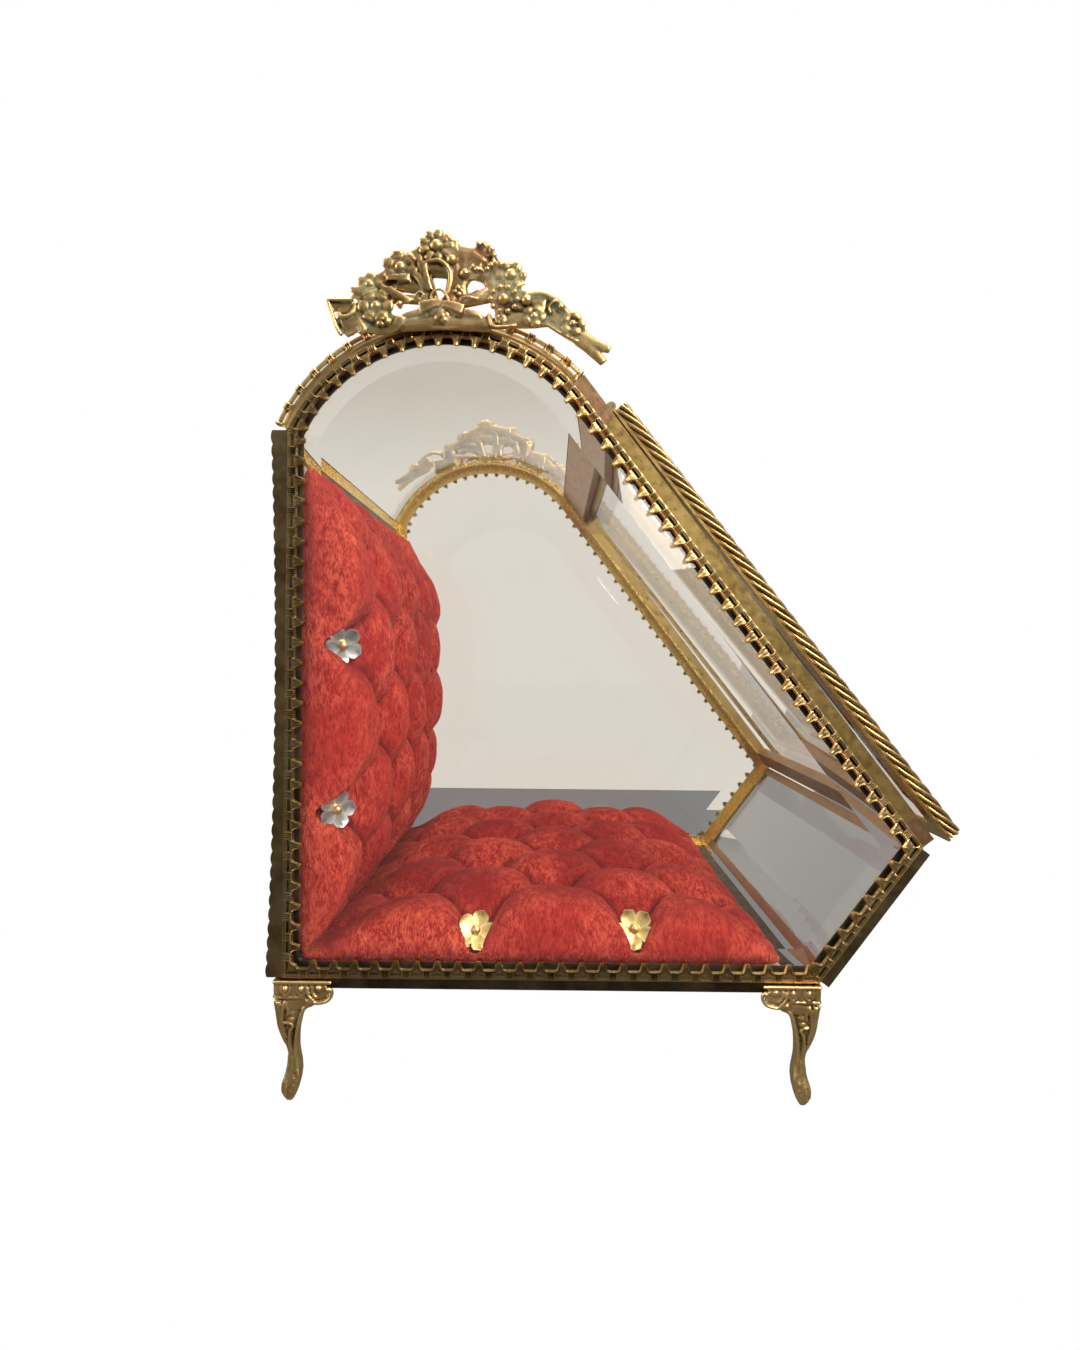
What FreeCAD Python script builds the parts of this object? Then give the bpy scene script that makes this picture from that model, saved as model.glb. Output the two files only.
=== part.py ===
import FreeCAD, Part
import math
import os
import Sketcher

# A glazed keepsake casket: gilt brass strips hold bevelled side glasses, a bent top glass and a short
# front glass. A glazed door slopes down from its hinge under the arch. Tufted velvet lines the upright
# back and the floor, pierced flower crests stand over both arches and four cabriole legs carry the case.
#
# Case frame: X runs from the outline of the back towards the door, Y across the case, Z up from the
# bottom line of the side strips. Each piece's Placement carries it to the part's frame, whose origin is
# on the floor under the middle of the case.

sizes = {
    # Side outline, to the outer edge of the pierced strips
    "arch_radius": 51.1,
    "arch_overhang": 4.2,
    "arch_center_height": 141.6,
    "slope_angle": 52.4,
    "front_angle": 53.2,
    "front_corner_height": 40.5,
    "case_depth": 168.0,
    "base_height": 37.0,
    # Sheet, glass and clearances
    "strip_sheet": 0.8,
    "flange_sheet": 1.0,
    "flange_depth": 9.0,
    "glass_lip_sheet": 0.6,
    "glass_lip_width": 4.2,
    "side_glass_thickness": 3.0,
    "thin_glass_thickness": 2.2,
    "bevel_width": 8.8,
    "bevel_depth": 1.5,
    "glass_play": 0.2,
    "seat_play": 0.1,
    "overrun": 1.0,
    # Pierced scalloped strips
    "strip_pitch": 6.0,
    "strip_width": 5.5,
    "strip_neck": 2.7,
    "tooth_width": 2.0,
    "tooth_round": 0.45,
    "slot_length": 3.2,
    "slot_width": 1.5,
    "slot_edge": 0.5,
    # Flared band over the arch
    "flare_rise": 4.2,
    "flare_foot": 0.9,
    "flare_slot_length": 3.0,
    "flare_slot_width": 1.7,
    # Back
    "back_band_end": 4.6,
    "back_band_waist": 2.7,
    "back_band_width": 3.8,
    "back_scallop_pitch": 4.2,
    "back_scallop_rise": 0.5,
    "back_rail_width": 3.8,
    "back_rail_thickness": 2.4,
    "back_sheet": 0.8,
    # Door opening
    "slope_band_thickness": 4.0,
    "slope_band_width": 8.0,
    "hinge_rail_above": 5.0,
    "hinge_rail_below": 10.5,
    "front_rail_width": 9.0,
    # Lower front
    "front_band_thickness": 3.0,
    "front_band_width": 3.8,
    "front_lip": 3.0,
    "front_rail_height": 3.4,
    "front_corner_gap": 0.6,
    # Base tray
    "base_band": 3.0,
    "base_sheet": 1.2,
    "base_rim": 2.5,
    # Legs
    "leg_wing": 17.6,
    "leg_wing_end": 3.0,
    "leg_wing_scoop": 7.0,
    "leg_wall": 2.0,
    # Door
    "hinge_reach": 6.4,
    "hinge_height": 5.9,
    "door_rest_angle": 0.95,
    "door_overhang": 3.4,
    "door_setback": 2.2,
    "door_side_gap": 1.0,
    "door_sheet": 0.8,
    "door_sheet_width": 5.4,
    "door_glass_thickness": 3.0,
    "rope_width": 4.4,
    "rope_ridge_pitch": 4.5,
    "rope_sink": 0.7,
    "rest_lip_sheet": 1.2,
    "rest_lip_setback": 5.0,
    "rest_lip_end_gap": 12.0,
    # Hinge
    "knuckle_radius": 1.4,
    "pin_radius": 0.7,
    "pin_clearance": 0.05,
    "knuckle_gap": 0.3,
    "hinge_leaf": 0.5,
    "hinge_leaf_width": 3.0,
    # Lining
    "pad_board": 1.5,
    "pad_side_gap": 1.0,
    "pad_edge": 8.0,
    "pad_rise": 15.0,
    "pad_tuft_depth": 8.0,
    "pad_puff": 2.2,
    "tuft_side_gap": 9.8,
    "back_tuft_foot_gap": 19.0,
    "back_tuft_head_gap": 30.1,
    "back_pad_top_gap": 8.0,
    "back_pad_foot": 4.0,
    "seat_tuft_back_gap": 14.5,
    "seat_tuft_front_gap": 20.4,
    "seat_pad_back_gap": 7.0,
    "seat_pad_front_gap": 9.0,
    # Flower studs
    "stud_radius": 6.0,
    "stud_petal_radius": 2.3,
    "stud_sheet": 0.6,
    "stud_ball_radius": 1.6,
    "stud_nail_radius": 0.6,
    "stud_nail_length": 5.0,
    "stud_lift": 1.2,
    # Crests
    "crest_width": 83.0,
    "crest_height": 32.0,
    "crest_sheet": 2.2,
    "crest_relief": 1.8,
    "crest_foot": 2.3,
    "crest_setback": 1.0,
}

doc = FreeCAD.newDocument("casket")
sheet = doc.addObject("Spreadsheet::Sheet", "Sizes")
for row, (name, value) in enumerate(sizes.items(), start=1):
    sheet.set(f"A{row}", name)
    sheet.set(f"B{row}", str(value))
    sheet.setAlias(f"B{row}", name)
doc.recompute()


# A number that carries the sheet expression that gives it
class Size:
    def __init__(self, value, text):
        self.value = value
        self.text = text

    def __add__(self, other):
        return Size(self.value + as_size(other).value, f"({self.text} + {as_size(other).text})")

    def __sub__(self, other):
        return Size(self.value - as_size(other).value, f"({self.text} - {as_size(other).text})")

    def __mul__(self, other):
        return Size(self.value * as_size(other).value, f"({self.text} * {as_size(other).text})")

    def __truediv__(self, other):
        return Size(self.value / as_size(other).value, f"({self.text} / {as_size(other).text})")

    def __neg__(self):
        return Size(-self.value, f"(0 - {self.text})")


def as_size(item):
    return item if isinstance(item, Size) else Size(item, repr(item))


def cell(name):
    return Size(float(sheet.get(name)), f"Sizes.{name}")


def sine(angle):
    return Size(math.sin(math.radians(angle.value)), f"sin({angle.text})")


def cosine(angle):
    return Size(math.cos(math.radians(angle.value)), f"cos({angle.text})")


def root(square):
    return Size(math.sqrt(square.value), f"sqrt({square.text})")


zero = as_size(0)
half_depth = cell("case_depth") / 2
strip_back = half_depth - cell("strip_sheet")
glass_back = strip_back - cell("side_glass_thickness")
slope_angle = cell("slope_angle")
front_angle = cell("front_angle")
arch_radius = cell("arch_radius")
arch_x = arch_radius - cell("arch_overhang")
arch_z = cell("arch_center_height")

# Corners of the side outline: slope top, front corner and the ends of the floor and the back
slope_x = arch_x + arch_radius * sine(slope_angle)
slope_z = arch_z + arch_radius * cosine(slope_angle)
front_z = cell("front_corner_height")
slope_length = (slope_z - front_z) / sine(slope_angle)
front_x = slope_x + slope_length * cosine(slope_angle)
front_length = front_z / sine(front_angle)
floor_length = front_x - front_length * cosine(front_angle)
back_height = arch_z + root(arch_radius * arch_radius - arch_x * arch_x)

# Hinge axis in the case frame, and the door's tilt when its lip rests on the front rail
hinge_x = slope_x + cell("hinge_reach") * cosine(slope_angle) + cell("hinge_height") * sine(slope_angle)
hinge_z = slope_z - cell("hinge_reach") * sine(slope_angle) + cell("hinge_height") * cosine(slope_angle)
door_angle = slope_angle - cell("door_rest_angle")
door_length = slope_length - cell("hinge_reach") + cell("door_overhang")
rope_top = cell("rope_width") - cell("rope_sink")
door_end_x = hinge_x + door_length * cosine(door_angle) + rope_top * sine(door_angle)

# Middle of the whole part along X, where the part's own origin lies
middle_x = (door_end_x - cell("back_band_end")) / 2
base_height = cell("base_height")


# Places an object of the case frame in the part's frame, turned about Y or Z
def place(item, x=zero, y=zero, z=zero, turn=zero, axis=FreeCAD.Vector(0, 1, 0)):
    spot = (x - middle_x, as_size(y), z + base_height)
    item.Placement = FreeCAD.Placement(
        FreeCAD.Vector(*(part.value for part in spot)), FreeCAD.Rotation(axis, turn.value)
    )
    for letter, part in zip("xyz", spot):
        item.setExpression(f"Placement.Base.{letter}", part.text)
    if turn is not zero:
        item.setExpression("Placement.Rotation.Angle", turn.text)


nodes = []


def new_body(name):
    body = doc.addObject("PartDesign::Body", name)
    body.Label = name
    nodes.append(body)
    return body


def new_sketch(body, role, offset=zero):
    sketch = body.newObject("Sketcher::SketchObject", f"{body.Name}_sketch")
    plane = [item for item in body.Origin.OriginFeatures if item.Role == role][0]
    sketch.AttachmentSupport = [(plane, "")]
    sketch.MapMode = "FlatFace"
    sketch.AttachmentOffset = FreeCAD.Placement(FreeCAD.Vector(0, 0, offset.value), FreeCAD.Rotation())
    sketch.setExpression("AttachmentOffset.Base.z", offset.text)
    return sketch


def hold_point(sketch, geometry, end, x, y):
    for kind, size in (("DistanceX", x), ("DistanceY", y)):
        index = sketch.addConstraint(Sketcher.Constraint(kind, -1, 1, geometry, end, size.value))
        sketch.setExpression(f"Constraints[{index}]", size.text)


# Closed loop through corners; arcs maps a side's index to its centre, radius and whether it turns left
def add_loop(sketch, corners, arcs=None):
    arcs = arcs or {}
    first = sketch.GeometryCount
    ends = []
    for index, (x, y) in enumerate(corners):
        next_x, next_y = corners[(index + 1) % len(corners)]
        start = FreeCAD.Vector(x.value, y.value, 0)
        stop = FreeCAD.Vector(next_x.value, next_y.value, 0)
        if index not in arcs:
            sketch.addGeometry(Part.LineSegment(start, stop))
            ends.append((1, 2))
            continue
        (center_x, center_y), radius, turns_left = arcs[index]
        center = FreeCAD.Vector(center_x.value, center_y.value, 0)
        circle = Part.Circle(center, FreeCAD.Vector(0, 0, 1), radius.value)
        head, tail = (start, stop) if turns_left else (stop, start)
        begin = math.atan2(head.y - center.y, head.x - center.x)
        finish = math.atan2(tail.y - center.y, tail.x - center.x)
        if finish < begin:
            finish += 2 * math.pi
        sketch.addGeometry(Part.ArcOfCircle(circle, begin, finish))
        ends.append((1, 2) if turns_left else (2, 1))
    count = len(corners)
    for index in range(count):
        follower = (index + 1) % count
        sketch.addConstraint(Sketcher.Constraint(
            "Coincident", first + index, ends[index][1], first + follower, ends[follower][0]
        ))
    for index, (x, y) in enumerate(corners):
        hold_point(sketch, first + index, ends[index][0], x, y)
        if index in arcs:
            radius = arcs[index][1]
            number = sketch.addConstraint(Sketcher.Constraint("Radius", first + index, radius.value))
            sketch.setExpression(f"Constraints[{number}]", radius.text)


def rectangle(low_x, low_y, high_x, high_y):
    return [(low_x, low_y), (high_x, low_y), (high_x, high_y), (low_x, high_y)]


def add_feature(body, kind, sketch, length, middle=False, back=False):
    feature = body.newObject(f"PartDesign::{kind}", f"{body.Name}_{kind.lower()}")
    feature.Profile = sketch
    feature.SideType = "Symmetric" if middle else "One side"
    feature.Reversed = back
    feature.Length = length.value
    feature.setExpression("Length", length.text)
    sketch.Visibility = False
    return feature


def add_loft(body, sketches, ruled=False):
    loft = body.newObject("PartDesign::AdditiveLoft", f"{body.Name}_loft")
    loft.Profile = sketches[0]
    loft.Sections = sketches[1:]
    loft.Ruled = ruled
    for sketch in sketches:
        sketch.Visibility = False
    return loft


def new_box(name, low, high, x=zero, y=zero, z=zero, turn=zero):
    box = doc.addObject("Part::Box", name)
    box.Label = name
    for side, start, stop in zip(("Length", "Width", "Height"), low, high):
        box.setExpression(side, (stop - start).text)
    (low_x, low_y, low_z) = low
    if turn is zero:
        place(box, x + low_x, y + low_y, z + low_z)
    else:
        corner_x = x + low_x * cosine(turn) + low_z * sine(turn)
        corner_z = z - low_x * sine(turn) + low_z * cosine(turn)
        place(box, corner_x, y + low_y, corner_z, turn)
    nodes.append(box)
    return box


def new_solid(name, shape, x=zero, y=zero, z=zero, turn=zero):
    solid = doc.addObject("Part::Feature", name)
    solid.Label = name
    solid.Shape = shape
    place(solid, x, y, z, turn)
    nodes.append(solid)
    return solid


# Near and far copies of a piece lie at minus and plus Y
sides = (("near", -1), ("far", 1))


# Offset that puts a pad of the given depth behind the plane |Y| = face on that side
def side_offset(side, face, depth):
    return face - depth if side < 0 else -face


# Side outline drawn in by an inset, anticlockwise from the back of the floor
def outline(inset):
    spread = sine(slope_angle + front_angle)
    corner_x = front_x - inset * (cosine(front_angle) + cosine(slope_angle)) / spread
    corner_z = front_z + inset * (sine(slope_angle) - sine(front_angle)) / spread
    floor_end = floor_length - inset * (as_size(1) - cosine(front_angle)) / sine(front_angle)
    radius = arch_radius - inset
    top_x = arch_x + radius * sine(slope_angle)
    top_z = arch_z + radius * cosine(slope_angle)
    back_reach = arch_x - inset
    back_top = arch_z + root(radius * radius - back_reach * back_reach)
    corners = [(inset, inset), (floor_end, inset), (corner_x, corner_z), (top_x, top_z), (inset, back_top)]
    return corners, {3: ((arch_x, arch_z), radius, True)}


# Side frames, with a lip behind the glass, and bevelled side glasses

for side_name, side in sides:
    frame = new_body(f"{side_name}_side_frame")
    frame_sketch = new_sketch(frame, "XZ_Plane", side_offset(side, strip_back, cell("flange_depth")))
    add_loop(frame_sketch, *outline(zero))
    add_loop(frame_sketch, *outline(cell("flange_sheet")))
    add_feature(frame, "Pad", frame_sketch, cell("flange_depth"))
    lip_sketch = new_sketch(frame, "XZ_Plane", side_offset(side, glass_back, cell("glass_lip_sheet")))
    add_loop(lip_sketch, *outline(zero))
    add_loop(lip_sketch, *outline(cell("glass_lip_width")))
    add_feature(frame, "Pad", lip_sketch, cell("glass_lip_sheet"))
    place(frame)

# The bevel is a loft from the full outline to the one drawn in by the bevel's width
for side_name, side in sides:
    body_depth = cell("side_glass_thickness") - cell("bevel_depth")
    edge = cell("flange_sheet") + cell("glass_play")
    shoulder = glass_back + body_depth
    glass = new_body(f"{side_name}_side_glass")
    glass_sketch = new_sketch(glass, "XZ_Plane", side_offset(side, shoulder, body_depth))
    add_loop(glass_sketch, *outline(edge))
    add_feature(glass, "Pad", glass_sketch, body_depth)
    wide_sketch = new_sketch(glass, "XZ_Plane", -(shoulder * side))
    add_loop(wide_sketch, *outline(edge))
    narrow_sketch = new_sketch(glass, "XZ_Plane", -(strip_back * side))
    add_loop(narrow_sketch, *outline(edge + cell("bevel_width")))
    add_loft(glass, [wide_sketch, narrow_sketch], ruled=True)
    place(glass)


# Slope frame: X down the slope from its top, Z outwards. Front frame: X down from the front corner
slope_spot = {"x": slope_x, "z": slope_z, "turn": slope_angle}
front_turn = as_size(180) - front_angle
front_spot = {"x": front_x, "z": front_z, "turn": front_turn}
door_spot = {"x": hinge_x, "z": hinge_z, "turn": door_angle}
rail_end = strip_back - cell("front_band_width") - cell("glass_play")


# Bent top glass, lying on the side frames' flanges between the back rail and the hinge rail

def top_glass():
    inner = arch_radius + cell("seat_play")
    outer = inner + cell("thin_glass_thickness")
    front_gap = cell("hinge_rail_above") + cell("glass_play")
    back_gap = cell("glass_play") * 2
    glass = new_body("top_glass")
    sketch = new_sketch(glass, "XZ_Plane")
    hinge_side = root(inner * inner - front_gap * front_gap)
    hinge_out = root(outer * outer - front_gap * front_gap)
    back_rise = back_height - arch_z + back_gap
    corners = []
    for reach in (hinge_side, hinge_out):
        along = -front_gap
        corners.append((
            arch_x + reach * sine(slope_angle) + along * cosine(slope_angle),
            arch_z + reach * cosine(slope_angle) - along * sine(slope_angle),
        ))
    for radius in (outer, inner):
        corners.append((arch_x - root(radius * radius - back_rise * back_rise), arch_z + back_rise))
    arcs = {1: ((arch_x, arch_z), outer, True), 3: ((arch_x, arch_z), inner, False)}
    add_loop(sketch, corners, arcs)
    add_feature(glass, "Pad", sketch, rail_end * 2, middle=True)
    place(glass)


# Plain rails and sheets

def rails():
    slope_band = cell("slope_band_thickness")
    band_inside = strip_back - cell("slope_band_width")
    hinge_end = cell("hinge_rail_below")
    front_start = slope_length - cell("front_rail_width")
    new_box(
        "hinge_rail", (-cell("hinge_rail_above"), -strip_back, zero),
        (hinge_end, strip_back, slope_band), **slope_spot
    )
    new_box(
        "front_rail", (front_start, -strip_back, zero),
        (slope_length, strip_back, slope_band), **slope_spot
    )
    for side_name, side in sides:
        low_y = -strip_back if side < 0 else band_inside
        new_box(
            f"{side_name}_slope_band", (hinge_end, low_y, zero),
            (front_start, low_y + cell("slope_band_width"), slope_band), **slope_spot
        )
    front_top = cell("front_corner_gap")
    rail_height = cell("front_rail_height")
    front_thick = cell("thin_glass_thickness")
    front_bottom = front_length - front_top
    new_box(
        "front_top_rail", (front_top, -rail_end, zero),
        (front_top + rail_height, rail_end, front_thick), **front_spot
    )
    new_box(
        "front_bottom_rail", (front_bottom - rail_height, -rail_end, zero),
        (front_bottom, rail_end, front_thick), **front_spot
    )
    back_rail = cell("back_rail_width")
    back_thick = cell("back_rail_thickness")
    new_box("back_bottom_rail", (-back_thick, -rail_end, zero), (zero, rail_end, back_rail))
    plate_top = back_height - back_rail
    new_box("back_top_rail", (-back_thick, -rail_end, plate_top), (zero, rail_end, back_height))
    new_box("back_plate", (-cell("back_sheet"), -rail_end, back_rail), (zero, rail_end, plate_top))


# Lower front glass with a bevelled outer face, between the front rails

def front_glass():
    top = cell("front_corner_gap") + cell("front_rail_height") + cell("seat_play")
    bottom = front_length - top
    depth = cell("thin_glass_thickness") - cell("bevel_depth")
    bevelled_pane("front_glass", top, bottom, rail_end, zero, depth, front_spot)


def bevelled_pane(name, start, stop, half_width, low, depth, spot):
    pane = new_body(name)
    sketch = new_sketch(pane, "XY_Plane", low)
    add_loop(sketch, rectangle(start, -half_width, stop, half_width))
    add_feature(pane, "Pad", sketch, depth)
    wide = new_sketch(pane, "XY_Plane", low + depth)
    add_loop(wide, rectangle(start, -half_width, stop, half_width))
    bevel = cell("bevel_width")
    narrow = new_sketch(pane, "XY_Plane", low + depth + cell("bevel_depth"))
    add_loop(narrow, rectangle(start + bevel, bevel - half_width, stop - bevel, half_width - bevel))
    add_loft(pane, [wide, narrow], ruled=True)
    place(pane, **spot)


# Angle strips down the lower front, whose lips cover the glass

def front_bands():
    start = cell("front_corner_gap")
    lip_under = cell("thin_glass_thickness") + cell("seat_play")
    inner = strip_back - cell("front_band_width")
    for side_name, side in sides:
        band = new_body(f"{side_name}_front_band")
        sketch = new_sketch(band, "YZ_Plane", start)
        edge = [strip_back, strip_back, inner - cell("front_lip"), inner - cell("front_lip"), inner, inner]
        rise = [zero, cell("front_band_thickness"), cell("front_band_thickness"), lip_under, lip_under, zero]
        corners = [(y * side, z) for y, z in zip(edge, rise)]
        add_loop(sketch, corners)
        add_feature(band, "Pad", sketch, front_length - start * 2)
        place(band, **front_spot)


# Base tray: a floor sheet with a rim turned down round it

def base_plate():
    end_x = floor_length - cell("leg_wall")
    rim = cell("base_rim")
    tray = new_body("base_plate")
    sketch = new_sketch(tray, "XY_Plane", -cell("base_band"))
    add_loop(sketch, rectangle(zero, -strip_back, end_x, strip_back))
    add_feature(tray, "Pad", sketch, cell("base_band"))
    hollow = new_sketch(tray, "XY_Plane", -cell("base_band"))
    add_loop(hollow, rectangle(rim, rim - strip_back, end_x - rim, strip_back - rim))
    add_feature(tray, "Pocket", hollow, cell("base_band") - cell("base_sheet"), back=True)
    place(tray)


# Pierced scalloped strips round both sides

def mm(name):
    return cell(name).value


# Straight or round stretch of the outline: its length, and the point at a distance along and drawn in
def straight(start, stop):
    along = (stop - start).normalize()
    inward = FreeCAD.Vector(-along.z, 0, along.x)
    return (stop - start).Length, lambda run, depth: start + along * run + inward * depth


def round_stretch(center, radius, first, last):
    def point(run, depth):
        angle = first + run / radius
        return center + FreeCAD.Vector(math.cos(angle), 0, math.sin(angle)) * (radius - depth)
    return radius * (last - first), point


def point_on(stretches, run, depth):
    for length, point in stretches[:-1]:
        if run < length:
            return point(run, depth)
        run -= length
    return stretches[-1][1](run, depth)


def arc_edge(stretches, *places):
    return Part.Arc(*(point_on(stretches, *spot) for spot in places)).toShape()


# Stadium-shaped slot in a strip
def slot_wire(stretches, middle, depth):
    reach = mm("slot_length") / 2
    rise = mm("slot_width") / 2
    straight_reach = reach - rise
    corners = [(middle - straight_reach, depth - rise), (middle + straight_reach, depth - rise)]
    corners += [(middle + straight_reach, depth + rise), (middle - straight_reach, depth + rise)]
    spots = [point_on(stretches, *corner) for corner in corners]
    return Part.Wire([
        Part.makeLine(spots[0], spots[1]),
        arc_edge(stretches, corners[1], (middle + reach, depth), corners[2]),
        Part.makeLine(spots[2], spots[3]),
        arc_edge(stretches, corners[3], (middle - reach, depth), corners[0]),
    ])


# One strip with a tooth under each slot and a round notch between teeth; its ends overrun the corners
def strip_face(stretches):
    total = sum(length for length, _ in stretches)
    count = round(total / mm("strip_pitch"))
    pitch = total / count
    half_tooth = mm("tooth_width") / 2
    tip = mm("strip_width")
    shoulder = tip - mm("tooth_round")
    middles = [(index + 0.5) * pitch for index in range(-1, count + 1)]
    first = middles[0] - half_tooth
    last = middles[-1] + half_tooth
    edges = []
    for middle in middles:
        edges.append(arc_edge(
            stretches, (middle - half_tooth, shoulder), (middle, tip), (middle + half_tooth, shoulder)
        ))
        if middle != middles[-1]:
            edges.append(arc_edge(
                stretches, (middle + half_tooth, shoulder), (middle + pitch / 2, mm("strip_neck")),
                (middle + pitch - half_tooth, shoulder)
            ))
    edges.append(Part.makeLine(point_on(stretches, last, shoulder), point_on(stretches, last, 0)))
    run_end = total
    places = [last]
    for length, _ in reversed(stretches[1:]):
        run_end -= length
        places.append(run_end)
    places.append(first)
    for begin, stop in zip(places, places[1:]):
        edges.append(outer_edge(stretches, begin, stop))
    edges.append(Part.makeLine(point_on(stretches, first, 0), point_on(stretches, first, shoulder)))
    face = Part.Face(Part.Wire(edges))
    depth = mm("slot_edge") + mm("slot_width") / 2
    slots = [Part.Face(slot_wire(stretches, middle, depth)) for middle in middles[1:-1]]
    return face.cut(slots)


def outer_edge(stretches, begin, stop):
    middle = (begin + stop) / 2
    ends = [point_on(stretches, run, 0) for run in (begin, middle, stop)]
    bow = ends[1].distanceToPoint((ends[0] + ends[2]) * 0.5)
    if bow < mm("seat_play"):
        return Part.makeLine(ends[0], ends[2])
    return Part.Arc(*ends).toShape()


# Block that mitres a strip at a corner: everything past the corner's bisector, seen along the strip
def mitre(corner, inward, along):
    reach = mm("strip_width") * 3
    across = FreeCAD.Vector(-inward.z, 0, inward.x)
    if across.dot(along) < 0:
        across = -across
    side_a = corner - inward * reach
    side_b = corner + inward * reach
    corners = [side_a, side_b, side_b + across * reach, side_a + across * reach, side_a]
    face = Part.Face(Part.makePolygon(corners))
    face.translate(FreeCAD.Vector(0, -mm("overrun"), 0))
    return face.extrude(FreeCAD.Vector(0, mm("strip_sheet") + mm("overrun") * 2, 0))


def gallery_shape():
    corner_list = [FreeCAD.Vector(x.value, 0, z.value) for x, z in outline(zero)[0]]
    floor_back, floor_front, front, slope_top, back_top = corner_list
    center = FreeCAD.Vector(arch_x.value, 0, arch_z.value)
    arch_start = math.atan2(slope_top.z - center.z, slope_top.x - center.x)
    arch_end = math.atan2(back_top.z - center.z, back_top.x - center.x)
    arch = round_stretch(center, arch_radius.value, arch_start, arch_end)
    runs = [
        [straight(floor_back, floor_front)],
        [straight(floor_front, front)],
        [straight(front, slope_top), arch],
        [straight(back_top, floor_back)],
    ]
    corners = [floor_front, front, back_top, floor_back]
    tips = []
    for index, run in enumerate(runs):
        follower = runs[(index + 1) % len(runs)]
        total = sum(length for length, _ in run)
        step = mm("seat_play")
        arriving = (point_on(run, total, 0) - point_on(run, total - step, 0)).normalize()
        leaving = (point_on(follower, step, 0) - point_on(follower, 0, 0)).normalize()
        tips.append((arriving, leaving, (leaving - arriving).normalize()))
    solids = []
    for index, run in enumerate(runs):
        strip = strip_face(run).extrude(FreeCAD.Vector(0, mm("strip_sheet"), 0))
        arriving, _, inward = tips[index]
        strip = strip.cut(mitre(corners[index], inward, arriving))
        _, leaving, inward = tips[index - 1]
        strip = strip.cut(mitre(corners[index - 1], inward, -leaving))
        solids += strip.Solids
    return Part.makeCompound(solids)


def galleries():
    shape = gallery_shape()
    for side_name, side in sides:
        low_y = strip_back if side > 0 else -half_depth
        new_solid(f"{side_name}_gallery", shape.copy(), y=low_y)


# Flared slotted bands that hold down the top glass, from the back rail to the hinge rail

def arch_bands():
    inner = arch_radius.value + mm("seat_play")
    outer = arch_radius.value + mm("flare_rise")
    face = strip_back.value
    drop = outer - inner - mm("flare_foot")
    end_gap = mm("hinge_rail_above") + mm("glass_play")
    first = 90 - slope_angle.value + math.degrees(math.asin(end_gap / inner))
    back_rise = back_height.value - arch_z.value + mm("glass_play")
    last = 180 - math.degrees(math.asin(back_rise / inner))
    corners = [(inner, face), (inner + mm("flare_foot"), face), (outer, face - drop)]
    corners += [(outer, face - drop - mm("flare_foot"))]
    axis = FreeCAD.Vector(0, -1, 0)
    origin = FreeCAD.Vector(0, 0, 0)
    count = round(math.radians(last - first) * inner / mm("strip_pitch"))
    for side_name, side in sides:
        start = math.radians(first)
        loop = [FreeCAD.Vector(r * math.cos(start), side * y, r * math.sin(start)) for r, y in corners]
        band = Part.Face(Part.makePolygon(loop + loop[:1])).revolve(origin, axis, last - first)
        slots = []
        for index in range(count):
            low_y = face - drop + mm("slot_edge")
            slot_y = low_y if side > 0 else -low_y - mm("flare_slot_width")
            slot = Part.makeBox(
                outer, mm("flare_slot_width"), mm("flare_slot_length"),
                FreeCAD.Vector(mm("overrun"), slot_y, -mm("flare_slot_length") / 2)
            )
            slot.rotate(origin, axis, first + (index + 0.5) * (last - first) / count)
            slots.append(slot)
        new_solid(f"{side_name}_arch_band", band.cut(slots), x=arch_x, z=arch_z)


# Scalloped edge bands of the back, thinner at mid height

def back_bands():
    height = back_height.value
    count = round(height / mm("back_scallop_pitch"))

    def reach(level):
        bow = (2 * level / height - 1) ** 2
        return mm("back_band_waist") + (mm("back_band_end") - mm("back_band_waist")) * bow

    edges = []
    for index in range(count):
        low = height * index / count
        high = height * (index + 1) / count
        middle = (low + high) / 2
        crown = -reach(middle) - mm("back_scallop_rise")
        spots = [(-reach(low), low), (crown, middle), (-reach(high), high)]
        edges.append(Part.Arc(*(FreeCAD.Vector(x, 0, z) for x, z in spots)).toShape())
    foot = FreeCAD.Vector(0, 0, 0)
    head = FreeCAD.Vector(0, 0, height)
    edges.append(Part.makeLine(FreeCAD.Vector(-reach(height), 0, height), head))
    edges.append(Part.makeLine(head, foot))
    edges.append(Part.makeLine(foot, FreeCAD.Vector(-reach(0), 0, 0)))
    band = Part.Face(Part.Wire(edges)).extrude(FreeCAD.Vector(0, mm("back_band_width"), 0))
    for side_name, side in sides:
        low_y = -strip_back if side < 0 else strip_back - cell("back_band_width")
        new_solid(f"{side_name}_back_band", band.copy(), y=low_y)


# Cabriole legs: two scooped wings round the tray's corner and a lofted shank with a flat sole

leg_section_shares = (
    (0.081, 0.00, 0.60), (0.23, 0.03, 0.56), (0.30, 0.05, 0.48), (0.39, 0.07, 0.42), (0.53, 0.15, 0.36),
    (0.66, 0.22, 0.37), (0.80, 0.16, 0.43), (0.905, 0.07, 0.42), (1.00, 0.13, 0.34),
)
leg_corner_share = 0.28


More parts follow.
